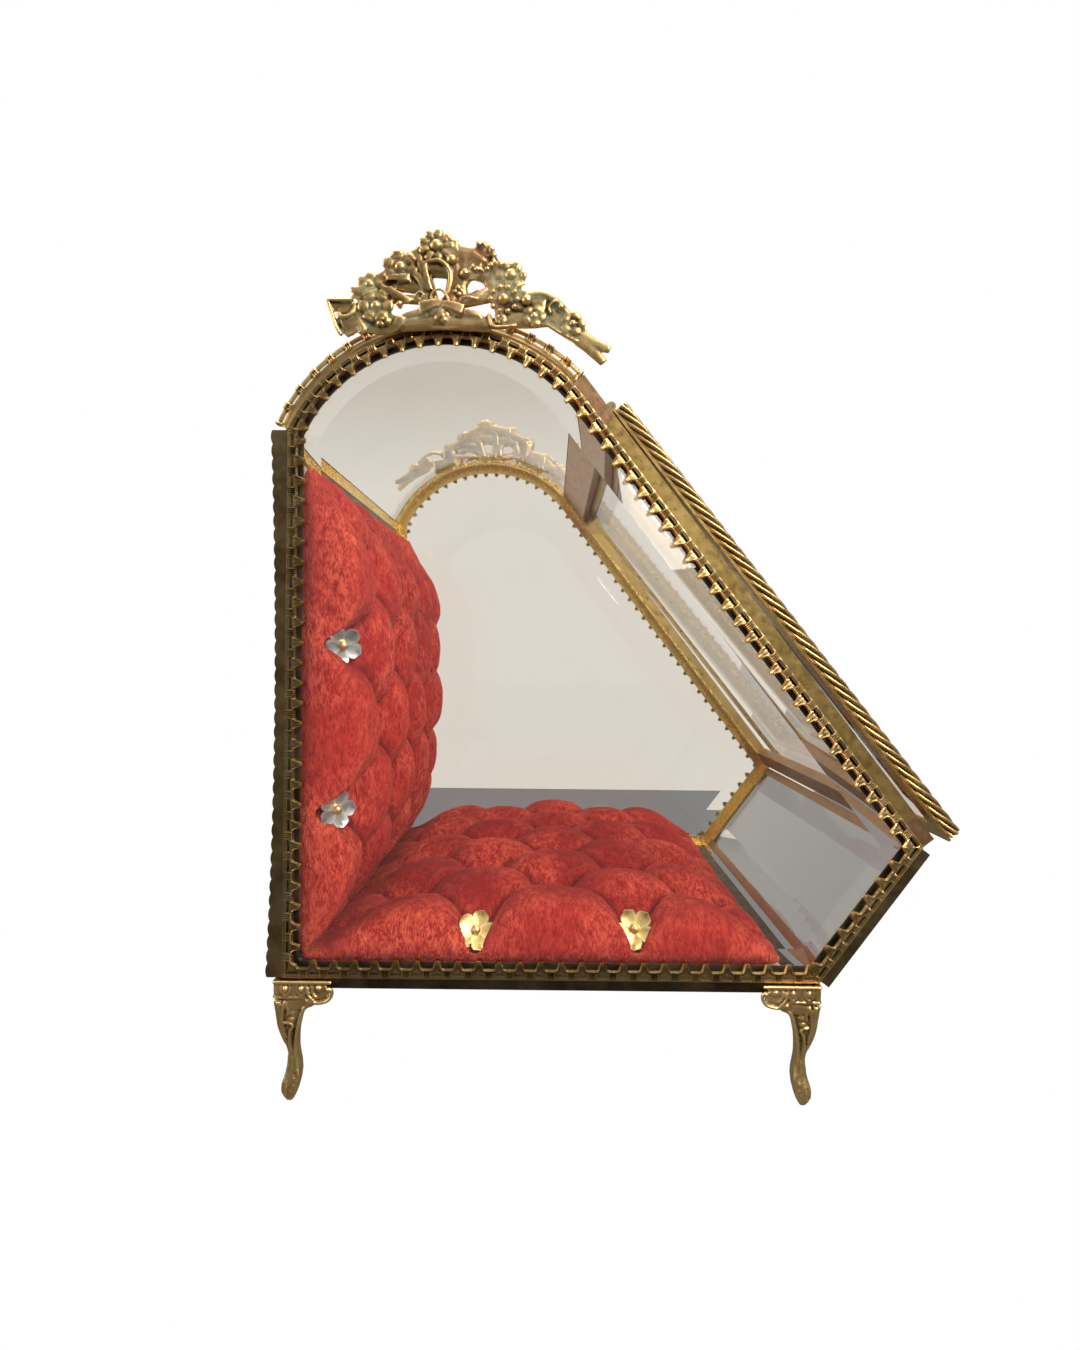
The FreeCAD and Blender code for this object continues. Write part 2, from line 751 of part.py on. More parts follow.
def legs():
    wing = cell("leg_wing")
    scoop = cell("leg_wing_scoop")
    inner = wing - scoop
    drop = cell("leg_wing_end") + scoop
    side_out = strip_back + cell("leg_wall")
    spots = (
        ("near_back_leg", -cell("leg_wall"), -side_out, 0), ("near_front_leg", floor_length, -side_out, 90),
        ("far_front_leg", floor_length, side_out, 180), ("far_back_leg", -cell("leg_wall"), side_out, 270),
    )
    for name, x, y, turn in spots:
        leg = new_body(name)
        face = new_sketch(leg, "XZ_Plane", -cell("leg_wall"))
        corners = [(zero, -drop), (inner, -drop), (wing, -cell("leg_wing_end")), (wing, zero), (zero, zero)]
        add_loop(face, corners, {1: ((wing, -drop), scoop, False)})
        add_feature(leg, "Pad", face, cell("leg_wall"))
        side = new_sketch(leg, "YZ_Plane")
        add_loop(side, corners, {1: ((wing, -drop), scoop, False)})
        add_feature(leg, "Pad", side, cell("leg_wall"))
        sections = []
        for height_share, low_share, high_share in leg_section_shares:
            low = wing * low_share
            high = wing * high_share
            cut = (high - low) * leg_corner_share
            section = new_sketch(leg, "XY_Plane", -(base_height * height_share))
            add_loop(section, [
                (low + cut, low), (high - cut, low), (high, low + cut), (high, high - cut),
                (high - cut, high), (low + cut, high), (low, high - cut), (low, low + cut),
            ])
            sections.append(section)
        add_loft(leg, sections)
        place(leg, x, y, zero, as_size(turn), FreeCAD.Vector(0, 0, 1))


# Door: a sheet frame, the bevelled glass lying on it, rope mouldings round the glass and a rest lip

# Square bar twisted a quarter turn per ridge, from a start point along a direction in the door's plane
def twisted_bar(start, along, length):
    radius = mm("rope_width") / 2
    across = FreeCAD.Vector(-along.y, along.x, 0)
    upward = FreeCAD.Vector(0, 0, 1)
    quarter = math.pi / 2
    corner_count = 4
    steps_per_ridge = 3
    count = max(1, round(length / mm("rope_ridge_pitch"))) * steps_per_ridge
    rings = []
    for index in range(count + 1):
        middle = start + along * (length * index / count)
        ring = []
        for corner in range(corner_count):
            turn = (index / steps_per_ridge + corner) * quarter
            ring.append(middle + (across * math.cos(turn) + upward * math.sin(turn)) * radius)
        rings.append(ring)
    faces = [Part.Face(Part.makePolygon(ring + ring[:1])) for ring in (rings[0], rings[-1])]
    for ring, following in zip(rings, rings[1:]):
        for corner in range(corner_count):
            low = ring[corner]
            high = ring[(corner + 1) % corner_count]
            low_next = following[corner]
            high_next = following[(corner + 1) % corner_count]
            faces.append(Part.Face(Part.makePolygon([low, high, low_next, low])))
            faces.append(Part.Face(Part.makePolygon([high, high_next, low_next, high])))
    return Part.makeSolid(Part.makeShell(faces))


def door():
    start = cell("door_setback")
    stop = door_length
    half_width = half_depth - cell("door_side_gap")
    rope = cell("rope_width")
    sink = cell("rope_sink")
    sheet_low = -(sink + cell("door_sheet"))
    frame = new_body("door_frame")
    sketch = new_sketch(frame, "XY_Plane", sheet_low)
    add_loop(sketch, rectangle(start, -half_width, stop, half_width))
    inset = cell("door_sheet_width")
    add_loop(sketch, rectangle(start + inset, inset - half_width, stop - inset, half_width - inset))
    add_feature(frame, "Pad", sketch, cell("door_sheet"))
    place(frame, **door_spot)
    edge = rope + cell("glass_play")
    depth = cell("door_glass_thickness") - cell("bevel_depth")
    bevelled_pane("door_glass", start + edge, stop - edge, half_width - edge, -sink, depth, door_spot)
    rope_z = (rope / 2 - sink).value
    for side_name, side in sides:
        stile_start = FreeCAD.Vector(start.value, side * (half_width - rope / 2).value, rope_z)
        bar = twisted_bar(stile_start, FreeCAD.Vector(1, 0, 0), (stop - start).value)
        new_solid(f"door_{side_name}_rope", bar, **door_spot)
    reach = (half_width - rope - cell("seat_play")).value
    for end_name, middle in (("top", start + rope / 2), ("bottom", stop - rope / 2)):
        rail_start = FreeCAD.Vector(middle.value, -reach, rope_z)
        bar = twisted_bar(rail_start, FreeCAD.Vector(0, 1, 0), reach * 2)
        new_solid(f"door_{end_name}_rope", bar, **door_spot)
    rest_angle = cell("door_rest_angle")
    lip_stop = stop - cell("rest_lip_setback")
    lip_start = lip_stop - cell("rest_lip_sheet")
    rail_top = cell("slope_band_thickness") + cell("seat_play") - cell("hinge_height")
    lip_low = (rail_top - lip_start * sine(rest_angle)) / cosine(rest_angle)
    lip_end = half_width - cell("rest_lip_end_gap")
    new_box("door_rest_lip", (lip_start, -lip_end, lip_low), (lip_stop, lip_end, sheet_low), **door_spot)


# Hinge: three knuckles on the case's leaf, two between them on the door's leaf, and one pin

def hinge():
    radius = cell("knuckle_radius")
    axis_x = cell("hinge_reach")
    axis_z = cell("hinge_height")
    rail_top = cell("slope_band_thickness")
    gap = cell("knuckle_gap")
    bore = cell("pin_radius") + cell("pin_clearance")
    half_length = rail_end
    knuckle = half_length * 2 / 5
    case_leaf = new_body("case_hinge")
    profile = new_sketch(case_leaf, "XZ_Plane")
    leaf_start = axis_x - cell("hinge_leaf_width")
    leaf_top = rail_top + cell("hinge_leaf")
    add_loop(profile, [
        (leaf_start, rail_top), (axis_x + radius, rail_top), (axis_x + radius, axis_z),
        (axis_x, axis_z + radius), (axis_x - radius, axis_z), (axis_x - radius, leaf_top),
        (leaf_start, leaf_top),
    ], {side: ((axis_x, axis_z), radius, True) for side in (2, 3)})
    add_feature(case_leaf, "Pad", profile, half_length * 2, middle=True)
    cut_bore(case_leaf, axis_x, axis_z, bore, half_length)
    room = new_sketch(case_leaf, "XY_Plane", rail_top)
    for side in (-1, 1):
        low_y = knuckle * (0.5 if side > 0 else -1.5) - gap
        high_y = knuckle * (1.5 if side > 0 else -0.5) + gap
        add_loop(room, rectangle(axis_x - radius - gap, low_y, axis_x + radius + cell("overrun"), high_y))
    add_feature(case_leaf, "Pocket", room, radius * 2 + cell("overrun") * 2, back=True)
    place(case_leaf, **slope_spot)
    door_leaf = new_body("door_hinge")
    sink = cell("rope_sink")
    reach = cell("door_setback")
    profile = new_sketch(door_leaf, "XZ_Plane")
    add_loop(profile, [
        (zero, -radius), (reach, -radius), (reach, -sink), (root(radius * radius - sink * sink), -sink),
    ], {3: ((zero, zero), radius, True)})
    add_feature(door_leaf, "Pad", profile, knuckle * 3, middle=True)
    cut_bore(door_leaf, zero, zero, bore, half_length)
    room = new_sketch(door_leaf, "XY_Plane", -(radius + cell("overrun")))
    clear = radius + gap
    side_room = knuckle / 2 + gap
    add_loop(room, rectangle(-clear, -side_room, clear, side_room))
    add_feature(door_leaf, "Pocket", room, (radius + cell("overrun")) * 2, back=True)
    place(door_leaf, **door_spot)
    pin = doc.addObject("Part::Cylinder", "hinge_pin")
    pin.Label = "hinge_pin"
    pin.setExpression("Radius", cell("pin_radius").text)
    pin.setExpression("Height", (half_length * 2).text)
    place(pin, hinge_x, half_length, hinge_z, as_size(90), FreeCAD.Vector(1, 0, 0))
    nodes.append(pin)


def cut_bore(body, x, z, radius, half_length):
    sketch = new_sketch(body, "XZ_Plane")
    circle = Part.Circle(FreeCAD.Vector(x.value, z.value, 0), FreeCAD.Vector(0, 0, 1), radius.value)
    sketch.addGeometry(circle)
    hold_point(sketch, 0, 3, x, z)
    index = sketch.addConstraint(Sketcher.Constraint("Radius", 0, radius.value))
    sketch.setExpression(f"Constraints[{index}]", radius.text)
    add_feature(body, "Pocket", sketch, half_length * 2 + cell("overrun"), middle=True)


# Lining boards and tufted pads

pad_half_width = glass_back - cell("pad_side_gap")
lining_floor = cell("flange_sheet") + cell("pad_board")
back_pad_top = back_height - cell("back_pad_top_gap")
seat_pad_start = lining_floor + cell("pad_edge") + cell("seat_pad_back_gap")
seat_pad_end = floor_length - cell("seat_pad_front_gap")


# Evenly spaced places from the first to the last
def spread(first, last, count):
    return [(first + (last - first) * index / (count - 1)).value for index in range(count)]


tuft_column_count = 5
tuft_row_count = 9
lowest_tuft = cell("back_pad_foot") + cell("back_tuft_foot_gap")
highest_tuft = back_pad_top - cell("back_tuft_head_gap")
back_tufts = spread(lowest_tuft, highest_tuft, tuft_column_count)
rear_tuft = seat_pad_start + cell("seat_tuft_back_gap")
front_tuft = seat_pad_end - cell("seat_tuft_front_gap")
seat_tufts = spread(rear_tuft, front_tuft, tuft_column_count)
tuft_side = pad_half_width - cell("tuft_side_gap")
tuft_rows = spread(-tuft_side, tuft_side, tuft_row_count)


def boards():
    sheet_edge = cell("flange_sheet")
    new_box(
        "seat_board", (lining_floor, -pad_half_width, sheet_edge),
        (seat_pad_end, pad_half_width, lining_floor)
    )
    new_box(
        "back_board", (sheet_edge, -pad_half_width, sheet_edge),
        (lining_floor, pad_half_width, back_pad_top)
    )


# Height of a pad over its board: its crown, less the tuft's depth at a button
pad_side_share = 0.62


def pad_height(along, start, stop, across, tufted):
    reach = pad_half_width.value
    middle = (start + stop) / 2
    long_share = 1 - abs((along - middle) / (stop - start) * 2) ** 3
    cross_share = 1 - abs(across / reach) ** 3
    side_share = pad_side_share + (1 - pad_side_share) * cross_share
    crown = mm("pad_edge") + mm("pad_rise") * long_share * side_share
    return crown - mm("pad_tuft_depth") * long_share ** 0.5 * cross_share ** 0.5 if tufted else crown


# Buttons sit at every other tuft, shifted by one from row to row
def has_button(row, column):
    return (row + column) % 2 == 0


# A pad's own directions: along its tufts, across the case and up from its board
def seat_point(along, across, height):
    return FreeCAD.Vector(along, across, height)


def back_point(along, across, height):
    return FreeCAD.Vector(height, across, along)


def pad_section(row, across, places, start, stop, point):
    stations = [start] + places + [stop]
    tops = []
    for column, along in enumerate(stations):
        inner = 0 < column < len(stations) - 1
        tufted = row is not None and inner and has_button(row, column)
        tops.append((along, pad_height(along, start, stop, across, tufted)))
    swell = mm("pad_puff") if row is not None else mm("pad_puff") / 4
    edges = []
    for (left, left_height), (right, right_height) in zip(tops, tops[1:]):
        edges.append(Part.Arc(
            point(left, across, left_height),
            point((left + right) / 2, across, (left_height + right_height) / 2 + swell),
            point(right, across, right_height),
        ).toShape())
    floor_end = point(stop, across, 0)
    floor_start = point(start, across, 0)
    edges.append(Part.makeLine(point(stop, across, tops[-1][1]), floor_end))
    edges.append(Part.makeLine(floor_end, floor_start))
    edges.append(Part.makeLine(floor_start, point(start, across, tops[0][1])))
    return Part.Wire(edges)


def pad_shape(places, start, stop, point):
    reach = pad_half_width.value
    sections = [pad_section(None, -reach, places, start, stop, point)]
    for row, across in enumerate(tuft_rows):
        sections.append(pad_section(row, across, places, start, stop, point))
    sections.append(pad_section(None, reach, places, start, stop, point))
    return Part.makeLoft(sections, True, True)


def pads():
    seat = pad_shape(seat_tufts, seat_pad_start.value, seat_pad_end.value, seat_point)
    new_solid("seat_cushion", seat, z=lining_floor)
    back = pad_shape(back_tufts, mm("back_pad_foot"), back_pad_top.value, back_point)
    new_solid("back_cushion", back, x=lining_floor)


# Five-petal flower studs nailed through the pads at the tufts

def flower_stud():
    petals = 5
    axis = FreeCAD.Vector(0, 0, 1)
    reach = mm("stud_radius") - mm("stud_petal_radius")
    pieces = []
    for index in range(petals):
        angle = 2 * math.pi * index / petals
        spot = FreeCAD.Vector(reach * math.cos(angle), reach * math.sin(angle), 0)
        pieces.append(Part.makeCylinder(mm("stud_petal_radius"), mm("stud_sheet"), spot, axis))
    pieces.append(Part.makeCylinder(reach, mm("stud_sheet")))
    ball = Part.makeSphere(mm("stud_ball_radius"), FreeCAD.Vector(0, 0, mm("stud_sheet")))
    nail = Part.makeCylinder(mm("stud_nail_radius"), mm("stud_nail_length"), FreeCAD.Vector(0, 0, 0), -axis)
    return pieces[0].fuse(pieces[1:] + [ball, nail]).removeSplitter()


def stud_group(places, start, stop, point):
    flower = flower_stud()
    turn = FreeCAD.Rotation(FreeCAD.Vector(0, 0, 1), point(0, 0, 1))
    studs = []
    for row, across in enumerate(tuft_rows):
        for column, along in enumerate(places, start=1):
            if has_button(row, column):
                stud = flower.copy()
                height = pad_height(along, start, stop, across, True) + mm("stud_lift")
                stud.Placement = FreeCAD.Placement(point(along, across, height), turn)
                studs.append(stud)
    return Part.makeCompound(studs)


def studs():
    seat = stud_group(seat_tufts, seat_pad_start.value, seat_pad_end.value, seat_point)
    new_solid("seat_flower_studs", seat, z=lining_floor)
    back = stud_group(back_tufts, mm("back_pad_foot"), back_pad_top.value, back_point)
    new_solid("back_flower_studs", back, x=lining_floor)


# Openwork flower crests: a cut-out sheet with raised blooms. Shares of the crest's width and height

crest_top_shares = (
    (-0.28, 0.47), (-0.25, 0.51), (-0.20, 0.52), (-0.20, 0.62), (-0.18, 0.72), (-0.145, 0.76),
    (-0.10, 0.78), (-0.065, 0.81), (-0.056, 0.90), (-0.02, 0.95), (0.018, 0.96),
    (0.045, 0.92), (0.062, 0.85), (0.087, 0.88), (0.11, 0.86), (0.147, 0.86), (0.18, 0.81), (0.195, 0.72),
    (0.20, 0.64), (0.235, 0.635), (0.275, 0.58), (0.305, 0.51),
)
crest_tail_shares = (
    (0.315, 0.43), (0.355, 0.42), (0.40, 0.39), (0.425, 0.31), (0.45, 0.21), (0.49, 0.19), (0.507, 0.085),
    (0.54, 0.01), (0.58, -0.09), (0.605, -0.115), (0.60, -0.175), (0.582, -0.19), (0.59, -0.265),
    (0.57, -0.297), (0.54, -0.235), (0.505, -0.12), (0.437, -0.04), (0.40, 0.047), (0.355, 0.047),
    (0.315, 0.035), (0.283, 0.07),
)
crest_foot_shares = (
    (0.25, 0.03), (0.16, 0.015), (0.01, 0.02), (-0.145, -0.012), (-0.20, -0.012), (-0.26, 0.02),
)
crest_stub_shares = (
    (-0.285, -0.02), (-0.335, -0.034), (-0.36, 0.005), (-0.375, 0.155), (-0.40, 0.297), (-0.325, 0.32),
    (-0.31, 0.37), (-0.32, 0.42),
)
crest_hole_shares = (
    (-0.012, 0.48, 0.024, 0.05), (0.12, 0.46, 0.027, 0.075), (-0.116, 0.216, 0.047, 0.05),
    (0.123, 0.234, 0.035, 0.06), (-0.10, 0.39, 0.023, 0.028),
)
crest_tail_bloom_shares = (0.469, 0.097, 0.10, 5)
crest_bloom_shares = (
    (-0.266, 0.43, 0.11, 5), (-0.232, 0.235, 0.14, 5), (-0.203, 0.10, 0.06, 0), (-0.145, 0.62, 0.14, 5),
    (-0.017, 0.84, 0.125, 8), (0.04, 0.71, 0.05, 0), (0.147, 0.735, 0.125, 5), (0.085, 0.585, 0.045, 0),
    (0.253, 0.55, 0.115, 5), (0.225, 0.325, 0.14, 10), (0.304, 0.328, 0.05, 0), (0.331, 0.14, 0.105, 5),
    (0.212, 0.13, 0.045, 0), (0.006, 0.255, 0.12, 0), (0.01, 0.15, 0.07, 5), crest_tail_bloom_shares,
)
bloom_rosette_share = 0.5
bloom_notch_share = 0.8
bloom_eye_share = 0.45


def crest_point(x_share, z_share, rise=0):
    return FreeCAD.Vector(x_share * mm("crest_width"), rise, z_share * mm("crest_height"))


# A bloom stands on the sheet: a rosette with one round lobe per petal, or a bud, and a pointed eye
def bloom(x_share, z_share, radius_share, petals):
    outward = FreeCAD.Vector(0, 1, 0)
    radius = radius_share * mm("crest_height")
    root_depth = mm("crest_sheet") / 2
    rosette_height = root_depth + mm("crest_relief") * bloom_rosette_share
    middle = crest_point(x_share, z_share, root_depth)
    head = middle + outward * rosette_height
    eye_height = mm("crest_relief") - mm("crest_relief") * bloom_rosette_share
    eye = Part.makeCone(radius * bloom_eye_share, radius * bloom_eye_share / 2, eye_height, head, outward)
    if not petals:
        return [Part.makeCylinder(radius, rosette_height, middle, outward), eye]
    lobes = []
    for index in range(petals):
        spots = []
        for step, reach in ((0, bloom_notch_share), (0.5, 1), (1, bloom_notch_share)):
            angle = 2 * math.pi * (index + step) / petals
            spots.append(middle + FreeCAD.Vector(math.cos(angle), 0, math.sin(angle)) * (radius * reach))
        lobes.append(Part.Arc(*spots).toShape())
    return [Part.Face(Part.Wire(lobes)).extrude(outward * rosette_height), eye]


def crest_shape(broken):
    shares = list(crest_top_shares + crest_tail_shares + crest_foot_shares)
    blooms = list(crest_bloom_shares)
    if broken:
        shares += crest_stub_shares
    else:
        shares += [(-x_share, z_share) for x_share, z_share in reversed(crest_tail_shares)]
        blooms.append((-crest_tail_bloom_shares[0], *crest_tail_bloom_shares[1:]))
    depth = FreeCAD.Vector(0, mm("crest_sheet"), 0)
    corners = [crest_point(*share) for share in shares]
    plate = Part.Face(Part.makePolygon(corners + corners[:1])).extrude(depth)
    holes = []
    for x_share, z_share, half_x, half_z in crest_hole_shares:
        middle = crest_point(x_share, z_share)
        wide = crest_point(x_share + half_x, z_share)
        tall = crest_point(x_share, z_share + half_z)
        if wide.distanceToPoint(middle) < tall.distanceToPoint(middle):
            wide, tall = tall, wide
        holes.append(Part.Face(Part.Wire(Part.Ellipse(wide, tall, middle).toShape())).extrude(depth))
    shape = plate.cut(holes)
    for row in blooms:
        for piece in bloom(*row):
            shape = shape.fuse(piece)
    return shape


def crests():
    foot_z = arch_z + arch_radius - cell("crest_foot")
    near = crest_shape(True).mirror(FreeCAD.Vector(0, 0, 0), FreeCAD.Vector(0, 1, 0))
    middle = arch_x - cell("crest_setback")
    new_solid("near_crest", near, x=middle, y=-half_depth, z=foot_z)
    new_solid("far_crest", crest_shape(False), x=middle, y=half_depth, z=foot_z)


galleries()
crests()
arch_bands()
top_glass()
rails()
back_bands()
front_glass()
front_bands()
base_plate()
legs()
door()
hinge()
boards()
pads()
studs()

doc.recompute()
for item in doc.Objects:
    if "Invalid" in item.State or "Error" in item.State:
        raise RuntimeError(f"{item.Name} did not compute: {item.State}")
for node in nodes:
    if node.Shape.isNull() or not node.Shape.isValid():
        raise RuntimeError(f"{node.Label} has no valid shape")
os.makedirs("parts", exist_ok=True)
for node in nodes:
    node.Shape.exportStep(f"parts/{node.Label}.step")
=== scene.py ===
import math
import bmesh
import bpy
import numpy as np
from mathutils import Matrix, Vector, noise


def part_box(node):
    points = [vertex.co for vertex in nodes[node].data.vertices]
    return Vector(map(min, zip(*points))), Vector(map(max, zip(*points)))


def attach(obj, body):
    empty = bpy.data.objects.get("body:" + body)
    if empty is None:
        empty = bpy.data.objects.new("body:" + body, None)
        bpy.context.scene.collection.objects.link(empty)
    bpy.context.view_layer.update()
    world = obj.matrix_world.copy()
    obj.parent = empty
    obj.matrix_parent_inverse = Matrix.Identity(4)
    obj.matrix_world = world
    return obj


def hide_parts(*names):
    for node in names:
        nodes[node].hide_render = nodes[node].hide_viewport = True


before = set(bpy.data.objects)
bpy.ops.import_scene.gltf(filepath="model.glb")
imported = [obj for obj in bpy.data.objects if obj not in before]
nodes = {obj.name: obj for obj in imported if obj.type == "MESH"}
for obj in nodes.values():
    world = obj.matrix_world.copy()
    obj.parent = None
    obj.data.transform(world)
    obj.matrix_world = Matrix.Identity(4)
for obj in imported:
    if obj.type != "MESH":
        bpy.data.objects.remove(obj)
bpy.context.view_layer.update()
scene = bpy.context.scene
scene.view_settings.view_transform = "Standard"
mm = 0.001
print("casket: frame loaded")

# camera at the height of the arch's foot, square on to the near side
shot = {
    "place": (-0.0197, -0.305, 0.1335), "lens": 20.0, "sensor": 36.0, "shift": (-0.0081, -0.0156), "roll": 0.6,
    "nearest": 0.01,
}
cameraData = bpy.data.cameras.new("shotCamera")
cameraData.lens = shot["lens"]
cameraData.sensor_width = shot["sensor"]
cameraData.shift_x, cameraData.shift_y = shot["shift"]
cameraData.clip_start = shot["nearest"]
camera = bpy.data.objects.new("shotCamera", cameraData)
scene.collection.objects.link(camera)
turn = Matrix.Rotation(math.pi / 2, 4, "X") @ Matrix.Rotation(math.radians(shot["roll"]), 4, "Z")
camera.matrix_world = Matrix.Translation(shot["place"]) @ turn
scene.camera = camera


# a node with its settings, and its inputs linked to an output or set to a plain value
def newNode(tree, kind, inputs=None, **settings):
    node = tree.nodes.new("ShaderNode" + kind)
    for name, value in settings.items():
        setattr(node, name, value)
    for name, source in (inputs or {}).items():
        feed(tree, node.inputs[name], source)
    return node


def feed(tree, socket, source):
    if isinstance(source, bpy.types.NodeSocket):
        tree.links.new(source, socket)
    else:
        socket.default_value = (*source, 1.0) if socket.type == "RGBA" else source


def mathNode(tree, operation, first, second, clamp=False):
    return newNode(tree, "Math", {0: first, 1: second}, operation=operation, use_clamp=clamp).outputs[0]


def plus(tree, first, second, clamp=False):
    return mathNode(tree, "ADD", first, second, clamp)


def minus(tree, first, second, clamp=False):
    return mathNode(tree, "SUBTRACT", first, second, clamp)


def times(tree, first, second):
    return mathNode(tree, "MULTIPLY", first, second)


def mixColor(tree, share, first, second):
    return newNode(tree, "Mix", {0: share, 6: first, 7: second}, data_type="RGBA").outputs[2]


def grain(tree, vector, scale, detail=4.0, rough=0.55):
    inputs = {"Vector": vector, "Scale": scale, "Detail": detail, "Roughness": rough}
    return newNode(tree, "TexNoise", inputs).outputs[0]


def rise(tree, value, low, high, start=0.0, stop=1.0):
    inputs = {"Value": value, "From Min": low, "From Max": high, "To Min": start, "To Max": stop}
    return newNode(tree, "MapRange", inputs).outputs[0]


def stretched(tree, vector, scale):
    return newNode(tree, "Mapping", {"Vector": vector, "Scale": scale}).outputs[0]


def newGroup(name, inputs, outputs):
    group = bpy.data.node_groups.new(name, "ShaderNodeTree")
    for label, kind, value in inputs:
        socket = group.interface.new_socket(name=label, in_out="INPUT", socket_type="NodeSocket" + kind)
        socket.default_value = (*value, 1.0) if kind == "Color" else value
    for label, kind in outputs:
        group.interface.new_socket(name=label, in_out="OUTPUT", socket_type="NodeSocket" + kind)
    return group, group.nodes.new("NodeGroupInput"), group.nodes.new("NodeGroupOutput")


def newMaterial(name):
    material = bpy.data.materials.new(name)
    material.use_nodes = True
    tree = material.node_tree
    tree.nodes.clear()
    return material, tree, newNode(tree, "OutputMaterial")


# a solid surface with a bump, linked to the material's output
def surface(tree, output, color, rough, height, strength, depth, more):
    bump = newNode(tree, "Bump", {"Strength": strength, "Distance": depth, "Height": height})
    inputs = {"Base Color": color, "Roughness": rough, "Normal": bump.outputs[0], **more}
    feed(tree, output.inputs[0], newNode(tree, "BsdfPrincipled", inputs).outputs[0])


# studio: white to the camera, a pale wall and a grey floor through the glass, dimmer in reflections
studio = {
    "white": (1.0, 1.0, 1.0), "floorColor": (0.80, 0.79, 0.77), "floorPale": (0.83, 0.82, 0.80),
    "floorThrough": (0.235, 0.23, 0.225), "floorMirror": (0.22, 0.20, 0.18), "floorGrain": 3.0,
    "floorDrop": -0.0002, "wallColor": (0.80, 0.745, 0.67), "wallTop": (0.54, 0.49, 0.42),
    "wallFade": (0.29, 0.40), "wallPlace": 0.44, "wallMirror": 1.1, "reach": 3.0, "skyGlow": 0.42,
    "skyClimb": (-0.1, 0.9, 0.06, 0.75),
}


def toMesh(name, bm):
    mesh = bpy.data.meshes.new(name)
    bm.to_mesh(mesh)
    bm.free()
    return mesh


def meshObject(name, bm, material):
    item = bpy.data.objects.new(name, toMesh(name, bm))
    item.data.materials.append(material)
    scene.collection.objects.link(item)
    return item


def stagePlane(name, matrix, material):
    bm = bmesh.new()
    bmesh.ops.create_grid(bm, x_segments=1, y_segments=1, size=studio["reach"], matrix=matrix)
    plane = meshObject(name, bm, material)


# picks a shader by the kind of ray: what the camera sees, what shows through glass, what metal mirrors
def rayMix(tree, plain, camera, through, mirror):
    path = newNode(tree, "LightPath").outputs
    for ray, shader in (("Is Glossy Ray", mirror), ("Is Transmission Ray", through), ("Is Camera Ray", camera)):
        plain = newNode(tree, "MixShader", {0: path[ray], 1: plain, 2: shader}).outputs[0]
    return plain


def glowShader(tree, color, strength=1.0):
    return newNode(tree, "Emission", {"Color": color, "Strength": strength}).outputs[0]


def makeStudio():
    floor, tree, output = newMaterial("paleFloor")
    place = newNode(tree, "TexCoord").outputs["Object"]
    mottle = rise(tree, grain(tree, place, studio["floorGrain"]), 0.3, 0.7)
    color = mixColor(tree, mottle, studio["floorColor"], studio["floorPale"])
    matte = newNode(tree, "BsdfDiffuse", {"Color": color})
    glows = [glowShader(tree, studio[name]) for name in ("white", "floorThrough", "floorMirror")]
    feed(tree, output.inputs[0], rayMix(tree, matte.outputs[0], *glows))
    stagePlane("studioFloor", Matrix.Translation((0, 0, studio["floorDrop"])), floor)
    wall, tree, output = newMaterial("paleWall")
    place = newNode(tree, "NewGeometry").outputs["Position"]
    up = newNode(tree, "SeparateXYZ", {0: place}).outputs[2]
    fade = mixColor(tree, rise(tree, up, *studio["wallFade"]), studio["wallColor"], studio["wallTop"])
    matte = newNode(tree, "BsdfDiffuse", {"Color": studio["wallColor"]})
    glows = [glowShader(tree, *look) for look in ((studio["white"],), (fade,), (fade, studio["wallMirror"]))]
    feed(tree, output.inputs[0], rayMix(tree, matte.outputs[0], *glows))
    upright = Matrix.Translation((0, studio["wallPlace"], 0)) @ Matrix.Rotation(math.pi / 2, 4, "X")
    stagePlane("studioWall", upright, wall)
    world = bpy.data.worlds.new("softStudio")
    scene.world = world
    world.use_nodes = True
    tree = world.node_tree
    tree.nodes.clear()
    place = newNode(tree, "TexCoord").outputs["Generated"]
    climb = rise(tree, newNode(tree, "SeparateXYZ", {0: place}).outputs[2], *studio["skyClimb"])
    skies = [newNode(tree, "Background", {"Strength": level, "Color": studio["white"]}).outputs[0]
             for level in (studio["skyGlow"], 1.0, studio["skyGlow"], climb)]
    newNode(tree, "OutputWorld", {0: rayMix(tree, *skies)})


lampAim = Vector((0, 0, 0.12))
lamps = {
    "keyLamp": {"place": (0.45, -0.66, 0.62), "size": 0.45, "watts": 8.0, "color": (1.0, 0.96, 0.90)},
    "fillLamp": {"place": (-0.95, -0.28, 0.42), "size": 0.55, "watts": 4.0, "color": (0.97, 0.98, 1.0)},
    "topLamp": {"place": (-0.05, 0.05, 0.95), "size": 0.60, "watts": 5.0, "color": (1.0, 0.98, 0.95)},
}


def makeLamps():
    for name, lamp in lamps.items():
        data = bpy.data.lights.new(name, "AREA")
        data.energy = lamp["watts"]
        data.size = lamp["size"]
        data.color = lamp["color"]
        item = bpy.data.objects.new(name, data)
        item.location = lamp["place"]
        item.rotation_euler = (lampAim - item.location).to_track_quat("-Z", "Y").to_euler()
        scene.collection.objects.link(item)


makeStudio()
makeLamps()
print("casket: studio made")

# aged gilt: bright on edges, darkened in recesses as painted shade and green there with patina, copper where the
# gilding is gone, and darkened away from the door as painted shade
giltInputs = [
    ("Bright", "Color", (0.78, 0.52, 0.20)), ("Middle", "Color", (0.30, 0.195, 0.075)),
    ("Dark", "Color", (0.040, 0.027, 0.014)), ("Green", "Float", 0.3), ("Copper", "Float", 0.1),
    ("Tarnish", "Float", 0.5), ("Polish", "Float", 0.0), ("Age", "Float", 0.0),
]
giltOutputs = [("Color", "Color"), ("Roughness", "Float"), ("Metal", "Float"), ("Height", "Float")]
